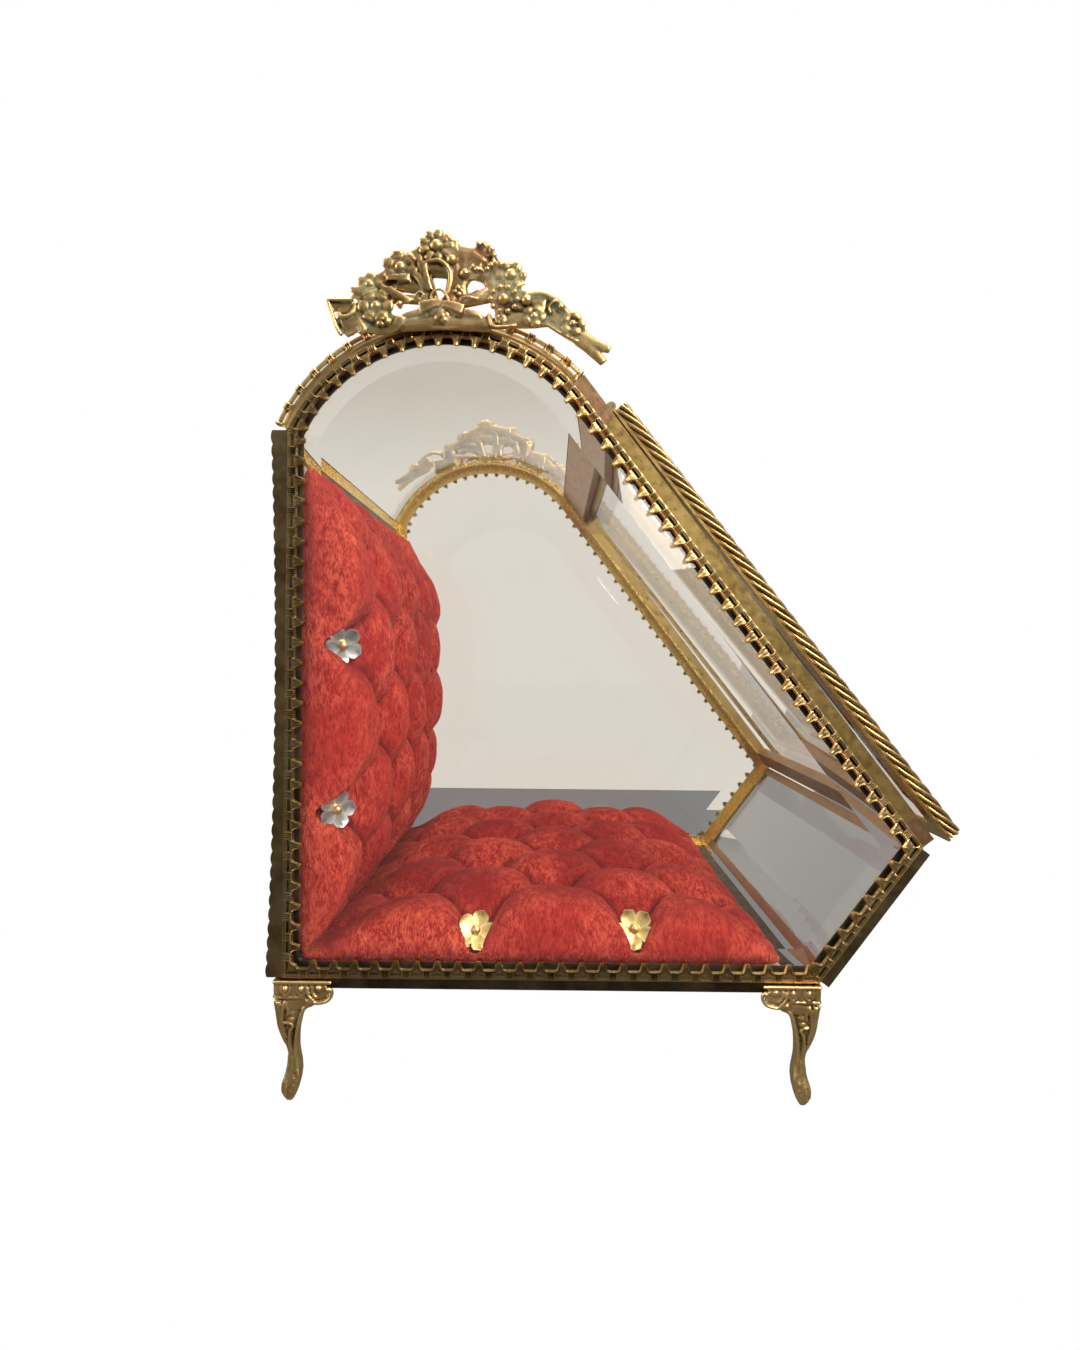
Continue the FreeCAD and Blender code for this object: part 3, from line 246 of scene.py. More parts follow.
# noises as scale, detail and roughness, the ranges of the cavity mask (its recess range sets the painted shade in
# the hollows), the stains' colours, and the direction and range of the painted shade away from the door
giltWearAndShade = {
    "patch": (75.0, 5.0, 0.6), "mottle": (420.0, 4.0, 0.6), "pits": (1900.0, 3.0, 0.6), "moss": (130.0, 4.0),
    "red": (55.0, 3.0), "edge": (-0.03, -0.24), "recess": (0.01, 0.15), "mossColor": (0.27, 0.28, 0.17),
    "redColor": (0.46, 0.21, 0.12), "doorward": (0.782, 0.0, 0.623), "backShadeRange": (0.118, 0.040, 0.0, 0.62),
}
fineRelief = 0.0003


def makeGiltGroup():
    group, given, made = newGroup("agedGilt", giltInputs, giltOutputs)
    given = given.outputs
    place = newNode(group, "TexCoord").outputs["Object"]
    cavity = newNode(group, "Attribute", attribute_name="cavity").outputs["Fac"]
    patch, mottle, pits, moss, red = (
        grain(group, place, *giltWearAndShade[name]) for name in ("patch", "mottle", "pits", "moss", "red"))
    edge, recess = (rise(group, cavity, *giltWearAndShade[name]) for name in ("edge", "recess"))
    wearAndSheen = plus(group, rise(group, patch, 0.42, 0.66), rise(group, mottle, 0.45, 0.80, 0.0, 0.4), True)
    color = mixColor(group, plus(group, times(group, wearAndSheen, 0.4), edge, True), given["Middle"], given["Bright"])
    smear = plus(group, times(group, patch, 0.6), times(group, mottle, 0.4))
    grime = times(group, rise(group, smear, 0.35, 0.75), given["Tarnish"])
    # painted shade: the recess mask darkens the colour towards Dark together with the tarnish, less on the edges
    grimeAndShade = plus(group, grime, recess, True)
    color = mixColor(group, minus(group, grimeAndShade, edge, True), color, given["Dark"])
    moss = times(group, rise(group, moss, 0.42, 0.60), given["Green"])
    moss = times(group, moss, plus(group, recess, 0.30, True))
    moss = times(group, moss, minus(group, 1.0, edge, True))
    color = mixColor(group, moss, color, giltWearAndShade["mossColor"])
    red = times(group, rise(group, red, 0.54, 0.66), given["Copper"])
    color = mixColor(group, red, color, giltWearAndShade["redColor"])
    # painted shade: away from the door, towards the back and the foot, the colour is darkened towards Dark
    toDoor = newNode(group, "VectorMath", {0: place, 1: giltWearAndShade["doorward"]}, operation="DOT_PRODUCT")
    backShade = rise(group, toDoor.outputs["Value"], *giltWearAndShade["backShadeRange"])
    color = mixColor(group, times(group, backShade, given["Age"]), color, given["Dark"])
    rough = plus(group, rise(group, mottle, 0.3, 0.7, 0.26, 0.42), times(group, grimeAndShade, 0.22))
    rough = plus(group, minus(group, rough, given["Polish"]), times(group, moss, 0.3))
    metal = minus(group, 1.0, times(group, moss, 0.8))
    height = plus(group, mottle, times(group, pits, 0.35))
    for (name, _), result in zip(giltOutputs, (color, rough, metal, height)):
        feed(group, made.inputs[name], result)
    return group


giltGroup = makeGiltGroup()


def giltMaterial(name, bump=0.25, **look):
    material, tree, output = newMaterial(name)
    made = newNode(tree, "Group", look, node_tree=giltGroup).outputs
    metal = {"Metallic": made["Metal"]}
    surface(tree, output, made["Color"], made["Roughness"], made["Height"], bump, fineRelief, metal)
    return material


glassLook = {
    "clean": (0.985, 0.985, 0.975), "smeared": (0.955, 0.955, 0.94), "shadow": (0.96, 0.965, 0.955),
    "bending": 1.48, "smears": (24.0, 6.0, 0.7), "smearRange": (0.56, 0.72), "haze": 0.02,
}


def glassMaterial():
    material, tree, output = newMaterial("bevelledGlass")
    place = newNode(tree, "TexCoord").outputs["Object"]
    smear = rise(tree, grain(tree, place, *glassLook["smears"]), *glassLook["smearRange"])
    shader = newNode(tree, "BsdfPrincipled", {
        "Base Color": mixColor(tree, smear, glassLook["clean"], glassLook["smeared"]),
        "Roughness": times(tree, smear, glassLook["haze"]), "IOR": glassLook["bending"],
        "Transmission Weight": 1.0})
    clear = newNode(tree, "BsdfTransparent", {"Color": glassLook["shadow"]})
    path = newNode(tree, "LightPath").outputs
    share = mathNode(tree, "MAXIMUM", path["Is Shadow Ray"], path["Is Diffuse Ray"])
    mix = newNode(tree, "MixShader", {0: share, 1: shader.outputs[0], 2: clear.outputs[0]})
    feed(tree, output.inputs[0], mix.outputs[0])
    return material


# velvet's colours, with a painted shade for its folds and a painted sheen for its ridges, its pile as scales along
# the axes, and its sheen
velvetLook = {
    "deep": (0.18, 0.007, 0.009), "middle": (0.47, 0.029, 0.023), "pale": (0.76, 0.125, 0.072),
    "fold": (0.085, 0.003, 0.005), "wearAndSheen": (0.82, 0.18, 0.09), "swirl": 60.0,
    "sway": (0.005, 0.005, 0.005), "brush": (45.0, 4.0, 0.6), "tufts": (650.0, 480.0, 260.0),
    "hairs": (2600.0, 1700.0, 650.0), "shine": 0.05, "sheen": 0.10, "sheenRough": 0.45,
    "sheenTint": (1.0, 0.36, 0.24), "bump": 0.9, "relief": 0.0012,
}


def velvetMaterial():
    material, tree, output = newMaterial("coralVelvet")
    look = velvetLook
    place = newNode(tree, "TexCoord").outputs["Object"]
    fold = newNode(tree, "Attribute", attribute_name="fold").outputs["Fac"]
    swirl = newNode(tree, "TexNoise", {"Vector": place, "Scale": look["swirl"]}).outputs["Color"]
    bent = newNode(tree, "VectorMath", {0: swirl, 1: look["sway"], 2: place}, operation="MULTIPLY_ADD").outputs[0]
    brushed = grain(tree, place, *look["brush"])
    tufts = grain(tree, stretched(tree, bent, look["tufts"]), 1.0, 3.0, 0.7)
    hairs = grain(tree, stretched(tree, bent, look["hairs"]), 1.0, 2.0, 0.6)
    nap = plus(tree, times(tree, tufts, 0.55), times(tree, hairs, 0.45))
    color = mixColor(tree, rise(tree, nap, 0.34, 0.58, 0.2, 1.0), look["deep"], look["middle"])
    pale = times(tree, rise(tree, nap, 0.45, 0.64), rise(tree, brushed, 0.42, 0.60, 0.15, 1.0))
    color = mixColor(tree, pale, color, look["pale"])
    facing = newNode(tree, "NewGeometry").outputs["Normal"]
    laid = rise(tree, newNode(tree, "SeparateXYZ", {0: facing}).outputs[2], 0.30, 1.0, 0.0, 0.85)
    crushed = times(tree, laid, rise(tree, brushed, 0.62, 0.40, 0.3, 1.0))
    color = mixColor(tree, crushed, color, look["deep"])
    # painted shade: the velvet darkens towards the fold colour in its creases
    color = mixColor(tree, rise(tree, fold, 0.02, 0.30, 0.0, 0.85), color, look["fold"])
    # painted sheen: the crests of the lobes are paled, in the nap's pattern
    ridge = times(tree, rise(tree, fold, -0.05, -0.45), rise(tree, nap, 0.35, 0.6, 0.2, 0.8))
    color = mixColor(tree, ridge, color, look["wearAndSheen"])
    rough = rise(tree, nap, 0.3, 0.7, 0.75, 0.98)
    surface(tree, output, color, rough, nap, look["bump"], look["relief"], {
        "Specular IOR Level": look["shine"], "Sheen Weight": look["sheen"], "Sheen Roughness": look["sheenRough"],
        "Sheen Tint": look["sheenTint"]})
    return material


boardLook = {
    "dark": (0.42, 0.33, 0.23), "pale": (0.62, 0.52, 0.40), "fibres": (180.0, 900.0, 900.0), "bump": 0.3,
}


def boardMaterial():
    material, tree, output = newMaterial("liningBoard")
    place = newNode(tree, "TexCoord").outputs["Object"]
    fibres = grain(tree, stretched(tree, place, boardLook["fibres"]), 1.0, 5.0, 0.6)
    color = mixColor(tree, fibres, boardLook["dark"], boardLook["pale"])
    surface(tree, output, color, rise(tree, fibres, 0.3, 0.7, 0.7, 0.9), fibres, boardLook["bump"], fineRelief, {})
    return material


materials = {
    # painted shade away from the door: full on the strip, half on the flare
    "strip": giltMaterial(
        "giltStrip", Tarnish=0.5, Green=0.4, Copper=0.15, Middle=(0.30, 0.20, 0.075), Age=1.0),
    "flare": giltMaterial(
        "giltFlare", Tarnish=0.45, Green=0.15, Copper=0.7, Middle=(0.24, 0.15, 0.06), Age=0.5),
    # painted highlight in part: this clean bright gold, used on the far side frame, back top rail and hinges,
    # stands for the bright reflection on the far frame's flange
    "frame": giltMaterial(
        "giltFrame", 0.08, Bright=(1.0, 0.78, 0.28), Middle=(0.94, 0.65, 0.19),
        Tarnish=0.10, Green=0.05, Polish=0.10),
    # painted shade: the near frame's lip is a darker gilt that stands for the shadow of the strip's teeth behind
    # their notches
    "lip": giltMaterial(
        "paintedShadeLip", 0.12, Bright=(0.50, 0.37, 0.18), Middle=(0.27, 0.20, 0.11), Tarnish=0.35, Green=0.3),
    "rail": giltMaterial(
        "copperRail", 0.15, Bright=(0.66, 0.43, 0.21), Middle=(0.40, 0.24, 0.12),
        Tarnish=0.30, Green=0.1, Copper=0.5),
    "band": giltMaterial(
        "giltBand", 0.15, Bright=(0.72, 0.49, 0.18), Middle=(0.48, 0.32, 0.10),
        Tarnish=0.30, Green=0.3, Polish=0.04),
    "backBand": giltMaterial(
        "dullBand", Bright=(0.42, 0.29, 0.12), Middle=(0.13, 0.088, 0.040), Tarnish=0.6, Green=0.3),
    "cast": giltMaterial("giltCast", Tarnish=0.35, Green=1.0, Copper=0.30, Middle=(0.29, 0.19, 0.075)),
    "leg": giltMaterial(
        "giltLeg", Bright=(0.92, 0.64, 0.27), Middle=(0.60, 0.41, 0.17), Dark=(0.09, 0.06, 0.03),
        Tarnish=0.22, Green=0.3, Copper=0.15),
    "rope": giltMaterial("giltRope", Tarnish=0.40, Green=0.4, Copper=0.3),
    "rim": giltMaterial(
        "darkRim", Bright=(0.13, 0.09, 0.05), Middle=(0.055, 0.037, 0.022), Tarnish=0.8, Green=0.2),
    "studGold": giltMaterial(
        "studGold", 0.12, Bright=(0.92, 0.70, 0.30), Middle=(0.66, 0.47, 0.17),
        Tarnish=0.15, Green=0.0, Copper=0.0),
    "studSilver": giltMaterial(
        "studSilver", 0.12, Bright=(0.74, 0.72, 0.70), Middle=(0.50, 0.49, 0.48),
        Dark=(0.12, 0.10, 0.08), Tarnish=0.25, Green=0.0, Copper=0.0),
    "steel": giltMaterial(
        "hingeSteel", 0.12, Bright=(0.55, 0.52, 0.48), Middle=(0.36, 0.33, 0.30),
        Dark=(0.08, 0.06, 0.05), Tarnish=0.4, Green=0.0, Copper=0.0),
    "glass": glassMaterial(),
    "velvet": velvetMaterial(),
    "board": boardMaterial(),
}

# finish of each carried-over piece
finishes = {
    "band": "near_slope_band far_slope_band door_frame",
    "backBand": "near_back_band far_back_band near_front_band far_front_band back_plate back_bottom_rail",
    "frame": "far_side_frame back_top_rail case_hinge door_hinge",
    "lip": "near_side_frame",
    "rail": "hinge_rail front_rail front_top_rail front_bottom_rail door_rest_lip",
    "rim": "base_plate",
    "steel": "hinge_pin",
    "glass": "near_side_glass far_side_glass top_glass front_glass door_glass",
    "board": "seat_board back_board",
}
for finish, names in finishes.items():
    for name in names.split():
        for slot in nodes[name].material_slots:
            slot.material = materials[finish]
print("casket: finishes given")


# turns a bmesh into a finished piece that rides on a body
def newPiece(name, bm, finish, body, replaced, sharp):
    for edge in bm.edges:
        edge.smooth = len(edge.link_faces) == 2 and edge.calc_face_angle() < math.radians(sharp)
    for face in bm.faces:
        face.smooth = True
    piece = meshObject(name, bm, materials[finish])
    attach(piece, body)
    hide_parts(*replaced)
    return piece


# adds a bmesh to another one and frees it
def pourInto(bm, part):
    mesh = toMesh("part", part)
    bm.from_mesh(mesh)
    bpy.data.meshes.remove(mesh)


# adds a mesh to a bmesh, moved by a matrix
def addCopy(bm, mesh, matrix):
    start = len(bm.verts)
    bm.from_mesh(mesh)
    bm.verts.ensure_lookup_table()
    bmesh.ops.transform(bm, verts=bm.verts[start:], matrix=matrix)


def faceOut(bm):
    bmesh.ops.recalc_face_normals(bm, faces=bm.faces[:])


def closeHoles(bm):
    bmesh.ops.holes_fill(bm, edges=[edge for edge in bm.edges if edge.is_boundary])


# how far each point lies under (above zero) or over its neighbours, in shares of the spacing
def markHollows(piece, label="cavity", passes=2, gain=1.0):
    mesh = piece.data
    count = len(mesh.vertices)
    spots, normals = np.empty(count * 3), np.empty(count * 3)
    mesh.vertices.foreach_get("co", spots)
    mesh.vertices.foreach_get("normal", normals)
    spots, normals = spots.reshape(-1, 3), normals.reshape(-1, 3)
    pairs = np.empty(len(mesh.edges) * 2, dtype=np.int64)
    mesh.edges.foreach_get("vertices", pairs)
    pairs = pairs.reshape(-1, 2)
    here, there = np.concatenate([pairs, pairs[:, ::-1]]).T
    near = np.maximum(np.bincount(here, minlength=count), 1)
    step = spots[there] - spots[here]
    length = np.maximum(np.linalg.norm(step, axis=1), 1e-9)
    bend = np.einsum("ij,ij->i", step, normals[here]) / length
    hollow = np.bincount(here, weights=bend, minlength=count) / near
    for _ in range(passes):
        around = np.bincount(here, weights=hollow[there], minlength=count) / near
        hollow = (hollow + around) / 2
    layer = mesh.attributes.get(label) or mesh.attributes.new(label, "FLOAT", "POINT")
    layer.data.foreach_set("value", (hollow * gain).astype(np.float32))


# the piece's mesh with its modifiers applied
def bakedMesh(piece):
    bpy.context.view_layer.update()
    graph = bpy.context.evaluated_depsgraph_get()
    mesh = bpy.data.meshes.new_from_object(piece.evaluated_get(graph), depsgraph=graph)
    piece.modifiers.clear()
    old = piece.data
    piece.data = mesh
    bpy.data.meshes.remove(old)
    return mesh


# case frame in millimetres: across from the back, along the depth and up from the bottom strips
case = {
    "middle": 98.2184, "lift": 37.0, "halfDepth": 84.0, "floorFront": 158.956, "frontCorner": (189.254, 40.5),
    "slopeTop": (87.386, 172.779), "archCenter": (46.9, 141.6), "archRadius": 51.1, "backTop": 161.888,
}


def caseSpot(across, depth, up):
    return Vector(((across - case["middle"]) * mm, depth * mm, (up + case["lift"]) * mm))


def caseSize(place):
    return place.x / mm + case["middle"], place.y / mm, place.z / mm - case["lift"]


# tufted pads in millimetres: plump diamonds of velvet drawn down at the studs, swollen by a cloth simulation
# and then creased. The seat and back pads meet on a slant in the corner
seatPad = {
    "start": 1.2, "stop": 150.5, "floor": 2.5, "halfWidth": 79.2, "under": -0.5, "grid": (110, 120),
    "edge": 4.0, "rise": 18.0, "roundFoot": 2.6, "roundHead": 4.0, "roundSide": 6, "crownLow": 0.9,
    "cornerRise": 6.0, "firstTuft": 32.0, "lastTuft": 129.556, "columns": 5, "sideTuft": 69.4, "rows": 9,
    "tuftDepth": 15.0, "puffShare": 0.55, "puffPower": 2.2, "bridgePower": 2.0, "endFade": 2.5, "slopes": True,
    "sidePull": 0.55, "sideRun": 2.0, "ease": 0.15, "easeRun": 6.0, "glassPull": 0.12, "corner": (0.1, 0.05),
    "wander": 4.0, "wanderSize": 0.045, "wanderShift": Vector((31, 7, 3)), "voxel": 4.2, "swell": 3.0,
    "crease": 3.0, "creaseWidth": 2.0, "creaseScale": 0.8, "dimple": 4.2, "pit": 8.0, "nap": 0.34,
    "pile": ((0.35, 0.5), (0.9, 0.6)), "steepness": 1.6,
}
backPad = dict(seatPad, stop=153.888, firstTuft=23.0, lastTuft=123.788, rise=19.0, slopes=False)


# spacing of the tufts along and across the pad
def tuftPitch(pad):
    pitch = (pad["lastTuft"] - pad["firstTuft"]) / (pad["columns"] - 1)
    return pitch, pad["sideTuft"] * 2 / (pad["rows"] - 1)


def tuftSpots(pad):
    spots = []
    pitch, rowPitch = tuftPitch(pad)
    for row in range(pad["rows"]):
        for column in range(1, pad["columns"] + 1):
            if (row + column) % 2 == 0:
                spots.append((pad["firstTuft"] + pitch * (column - 1), rowPitch * row - pad["sideTuft"]))
    return spots


# a spot in the lattice of creases: 1 on a crease and 0 between two, along both of its slants
def creaseShares(pad, along, across):
    pitch, rowPitch = tuftPitch(pad)
    column = min(max((along - pad["firstTuft"]) / pitch + 1, 0.4), pad["columns"] + 0.6)
    row = min(max((across + pad["sideTuft"]) / rowPitch, 0), pad["rows"] - 1)
    spot = Vector((along, across, pad["stop"])) * pad["wanderSize"]
    sway = pad["wander"] / pitch
    column += sway * noise.noise(spot) * abs(math.sin(math.pi * (row + column) / 2))
    row += sway * noise.noise(spot + pad["wanderShift"]) * abs(math.sin(math.pi * (row + column) / 2))
    return [abs(2 * (value - math.floor(value)) - 1) for value in ((column + row) / 2, (column - row) / 2)]


# share of a stud's pull across the pad: the seat slopes down from its outer studs to the glass
def pullShare(pad, across, crossShare):
    if not pad["slopes"]:
        return pad["sidePull"] + (1 - pad["sidePull"]) * min(1, crossShare * pad["sideRun"])
    past = abs(across) - pad["sideTuft"]
    toGlass = pad["halfWidth"] - pad["sideTuft"]
    eased = pad["ease"] * math.exp(-(past / pad["easeRun"]) ** 2)
    return 1 - eased + pad["glassPull"] * max(0.0, past / toGlass)


# height of the velvet over its board: a crown, drawn down at the studs
def padHeight(pad, along, across):
    middle = (pad["start"] + pad["stop"]) / 2
    share = (along - middle) / (pad["stop"] - middle)
    power = pad["roundFoot"] if share < 0 else pad["roundHead"]
    longShare = 1 - min(1, abs(share)) ** power
    crossShare = 1 - min(1, abs(across / pad["halfWidth"])) ** pad["roundSide"]
    crown = pad["edge"] + pad["rise"] * longShare * (pad["crownLow"] + (1 - pad["crownLow"]) * crossShare)
    first, second = creaseShares(pad, along, across)
    puff = math.sqrt((1 - first ** pad["puffPower"]) * (1 - second ** pad["puffPower"]))
    bridge = 1 - (first * second) ** pad["bridgePower"]
    flat = 1 - pad["puffShare"] * puff - (1 - pad["puffShare"]) * bridge
    fade = min(1, longShare * pad["endFade"]) * pullShare(pad, across, crossShare)
    return min(crown - pad["tuftDepth"] * flat * fade, along - pad["start"] + pad["cornerRise"])


def padBlank(pad, point):
    bm = bmesh.new()
    bmesh.ops.create_grid(bm, x_segments=pad["grid"][0], y_segments=pad["grid"][1], size=0.5)
    for vert in bm.verts:
        along = pad["start"] + (vert.co.x + 0.5) * (pad["stop"] - pad["start"])
        across = vert.co.y * 2 * pad["halfWidth"]
        vert.co = (along, across, padHeight(pad, along, across))
    wall = bmesh.ops.extrude_edge_only(bm, edges=[edge for edge in bm.edges if edge.is_boundary])["geom"]
    for item in wall:
        if isinstance(item, bmesh.types.BMVert):
            item.co.z = pad["under"]
    closeHoles(bm)
    for vert in bm.verts:
        vert.co = point(*vert.co)
    faceOut(bm)
    return bm


# cloth of the swelling, and how its underside and the ring round each stud are held
swelling = {
    "cloth": {
        "quality": 4, "mass": 0.3, "tension_stiffness": 12, "compression_stiffness": 8, "bending_stiffness": 0.4,
        "use_pressure": True, "uniform_pressure_force": 4.0, "vertex_group_mass": "held",
    },
    "frames": 20, "heldBelow": 2.5, "heldRound": 5.0,
}


# swells the blank under pressure with its studs and its underside held
def swellPad(piece, pad, spotOf, studs):
    group = piece.vertex_groups.new(name="held")
    before = [vert.co.copy() for vert in piece.data.vertices]
    for vert in piece.data.vertices:
        nearStud = min((vert.co - stud).length for stud in studs) / (swelling["heldRound"] * mm)
        hold = 1.0 if spotOf(vert.co)[2] < swelling["heldBelow"] else max(0.0, 1.0 - nearStud)
        if hold > 0:
            group.add([vert.index], hold, "REPLACE")
    cloth = piece.modifiers.new("swell", "CLOTH")
    for name, value in swelling["cloth"].items():
        setattr(cloth.settings, name, value)
    cloth.settings.effector_weights.gravity = 0
    cloth.point_cache.frame_start = 1
    cloth.point_cache.frame_end = swelling["frames"]
    for step in range(1, swelling["frames"] + 1):
        scene.frame_set(step)
    mesh = bakedMesh(piece)
    limit = pad["swell"] * mm
    for vert, old in zip(mesh.vertices, before):
        move = vert.co - old
        if move.length > limit:
            vert.co = old + move.normalized() * limit
    scene.frame_set(1)


# draws in the creases and dimples, raises the pile and keeps the pad inside its glass and its corner
def dressPad(piece, pad, point, spotOf):
    upward = (point(0, 0, 1) - point(0, 0, 0)).normalized()
    pitch = tuftPitch(pad)[0]
    tufts = [Vector(spot) for spot in tuftSpots(pad)]
    normals = [vert.normal.copy() for vert in piece.data.vertices]
    for vert, normal in zip(piece.data.vertices, normals):
        along, across, _ = spotOf(vert.co)
        facing = max(0.0, normal.dot(upward))
        gap = (1 - max(creaseShares(pad, along, across))) * pitch * pad["creaseScale"]
        apart = min((Vector((along, across)) - tuft).length for tuft in tufts)
        sink = pad["crease"] * math.exp(-(gap / pad["creaseWidth"]) ** 2)
        sink += pad["dimple"] * math.exp(-(apart / pad["pit"]) ** 2)
        flat = vert.co / mm
        pile = sum(noise.noise(flat * size) * share for size, share in pad["pile"])
        vert.co += (normal * pad["nap"] * pile - upward * sink * min(1.0, facing * pad["steepness"])) * mm
        along, across, height = spotOf(vert.co)
        across = min(max(across, -pad["halfWidth"]), pad["halfWidth"])
        along = max(along, pad["floor"] + pad["corner"][0])
        height = max(0.0, min(height, along - pad["floor"] - pad["corner"][1]))
        vert.co = point(along, across, height)


def makePad(name, pad, point, spotOf, replaced):
    piece = newPiece(name, padBlank(pad, point), "velvet", "case", replaced, 180.0)
    thin = piece.modifiers.new("voxels", "REMESH")
    thin.mode = "VOXEL"
    thin.voxel_size = pad["voxel"] * mm
    bakedMesh(piece)
    studs = [point(along, across, padHeight(pad, along, across)) for along, across in tuftSpots(pad)]
    swellPad(piece, pad, spotOf, studs)
    finer = piece.modifiers.new("finer", "SUBSURF")
    finer.levels = finer.render_levels = 2
    mesh = bakedMesh(piece)
    dressPad(piece, pad, point, spotOf)
    mesh.update()
    markHollows(piece, "fold", 6, 2.2)
    mesh.materials.clear()
    mesh.materials.append(materials["velvet"])
    for face in mesh.polygons:
        face.use_smooth = True
    return piece


def seatPoint(along, across, height):
    return caseSpot(along, across, seatPad["floor"] + height)


def seatSpot(place):
    across, depth, up = caseSize(place)
    return across, depth, up - seatPad["floor"]


def backPoint(along, across, height):
    return caseSpot(backPad["floor"] + height, across, along)


def backSpot(place):
    across, depth, up = caseSize(place)
    return up, depth, across - backPad["floor"]


seatVelvet = makePad("seatVelvet", seatPad, seatPoint, seatSpot, ["seat_cushion"])
backVelvet = makePad("backVelvet", backPad, backPoint, backSpot, ["back_cushion"])
print("casket: pads tufted")


# runs of the side outline, each a list of straight or round stretches
def straightRun(start, stop):
    start, stop = Vector(start), Vector(stop)
    along = (stop - start).normalized()
    inward = Vector((-along.y, along.x))
    return (stop - start).length, lambda run, depth: start + along * run + inward * depth


def roundRun(center, radius, first, last):
    center = Vector(center)

    def spot(run, depth):
        angle = first + run / radius
        return center + Vector((math.cos(angle), math.sin(angle))) * (radius - depth)
    return radius * (last - first), spot


def spotOn(stretches, run, depth):
    for length, spot in stretches[:-1]:
        if run <= length:
            return spot(run, depth)
        run -= length
    return stretches[-1][1](run, depth)


def archAngles():
    center = Vector(case["archCenter"])
    first = Vector(case["slopeTop"]) - center
    last = Vector((0, case["backTop"])) - center
    return math.atan2(first.y, first.x), math.atan2(last.y, last.x)


def outlineRuns():
    floorBack, floorFront, backTop = (0, 0), (case["floorFront"], 0), (0, case["backTop"])
    arch = roundRun(case["archCenter"], case["archRadius"], *archAngles())
    return [
        [straightRun(floorBack, floorFront)],
        [straightRun(floorFront, case["frontCorner"])],
        [straightRun(case["frontCorner"], case["slopeTop"]), arch],
        [straightRun(backTop, floorBack)],
    ]


# grid of a pierced sheet: its columns repeat, and the faces of its slots are left out.
# Gives each point's repeat, column and row
def slottedGrid(count, look, rows):
    columns = len(look["columns"])
    wide, tall = count * columns, rows - 1
    bm = bmesh.new()
    bmesh.ops.create_grid(bm, x_segments=wide, y_segments=tall, size=0.5)
    slots = []
    for face in bm.faces:
        middle = face.calc_center_median()
        column, row = (middle.x + 0.5) * wide % columns, (middle.y + 0.5) * tall
        inColumns = look["slotColumns"][0] < column < look["slotColumns"][1]
        if inColumns and look["slotRows"][0] < row < look["slotRows"][1]:
            slots.append(face)
    bmesh.ops.delete(bm, geom=slots, context="FACES")
    cells = []
    for vert in bm.verts:
        cell, column = divmod(round((vert.co.x + 0.5) * wide), columns)
        cells.append((vert, cell, column, round((vert.co.y + 0.5) * tall)))
    return bm, cells


# pierced strip: fluted prongs over oval slots, with round notches between the prongs
strip = {
    "pitch": 6.0, "columns": (-3.0, -2.7, -2.4, -2.1, -1.8, -1.35, -0.85, -0.5, -0.17, 0.17, 0.5, 0.85, 1.35, 1.8,
                              2.1, 2.4, 2.7), "rows": 9, "slotColumns": (4, 13), "slotRows": (1, 3),
    "slotLow": 0.35, "slotHigh": 1.95, "slotHalf": 1.8, "slotRound": 0.84, "neck": 2.6, "prong": 0.5,
    "shoulder": 5.2, "tip": 5.5, "flute": 0.16, "fluteStep": 0.68, "fluteFade": 0.5, "ridge": 0.25,
    "ridgeWidth": 1.1, "ridgeStart": 1.6, "ridgeRun": 1.5, "bead": 0.45, "beadDrop": 0.45, "beadWidth": 0.6,
    "hem": 0.28, "hemWidth": 0.7, "cup": 0.35, "cupRun": 2.0, "inside": 83.25, "thickness": 0.75, "seat": 0.3,
    "wave": 0.12, "waveSize": (0.11, 0.3, 7.0), "mitreReach": 0.014,
}


# depth of the strip's toothed edge at a distance from the prong's middle
def toothEdge(offset):
    reach = abs(offset)
    if reach <= strip["prong"]:
        dome = math.sqrt(1 - (reach / strip["prong"]) ** 2)
        return strip["shoulder"] + (strip["tip"] - strip["shoulder"]) * dome
    share = (strip["pitch"] / 2 - reach) / (strip["pitch"] / 2 - strip["prong"])
    return strip["neck"] + (strip["shoulder"] - strip["neck"]) * (1 - math.sqrt(max(0, 1 - share ** 4)))


# place and lift of a point of the strip, by its distance from the prong's middle and its row
def stripSpot(offset, row):
    low, high = strip["slotLow"], strip["slotHigh"]
    levels = (0.0, low, (low + high) / 2, high)
    edge = toothEdge(offset)
    if row < len(levels):
        level = levels[row]
    else:
        level = high + (edge - high) * ((row - len(levels) + 1) / (strip["rows"] - len(levels)))
    if row in strip["slotRows"] and abs(offset) == strip["slotHalf"]:
        offset *= strip["slotRound"]
    flute = math.cos(2 * math.pi * offset / strip["fluteStep"])
    lift = strip["flute"] * flute * min(1.0, level / strip["fluteFade"])
    ridge = math.exp(-(offset / strip["ridgeWidth"]) ** 2)
    lift += strip["ridge"] * ridge * min(1.0, max(0.0, (level - strip["ridgeStart"]) / strip["ridgeRun"]))
    toBead = level - strip["tip"] + strip["beadDrop"]
    lift += strip["bead"] * math.exp(-(offset / strip["beadWidth"]) ** 2 - (toBead / strip["beadWidth"]) ** 2)
    if abs(offset) > strip["prong"] + 0.01:
        near = max(0.0, 1 - (edge - level) / strip["hemWidth"])
        lift += strip["hem"] * near
        lift -= strip["cup"] * max(0.0, (level - strip["neck"]) / strip["cupRun"]) * (1 - near)
    return offset, level, lift


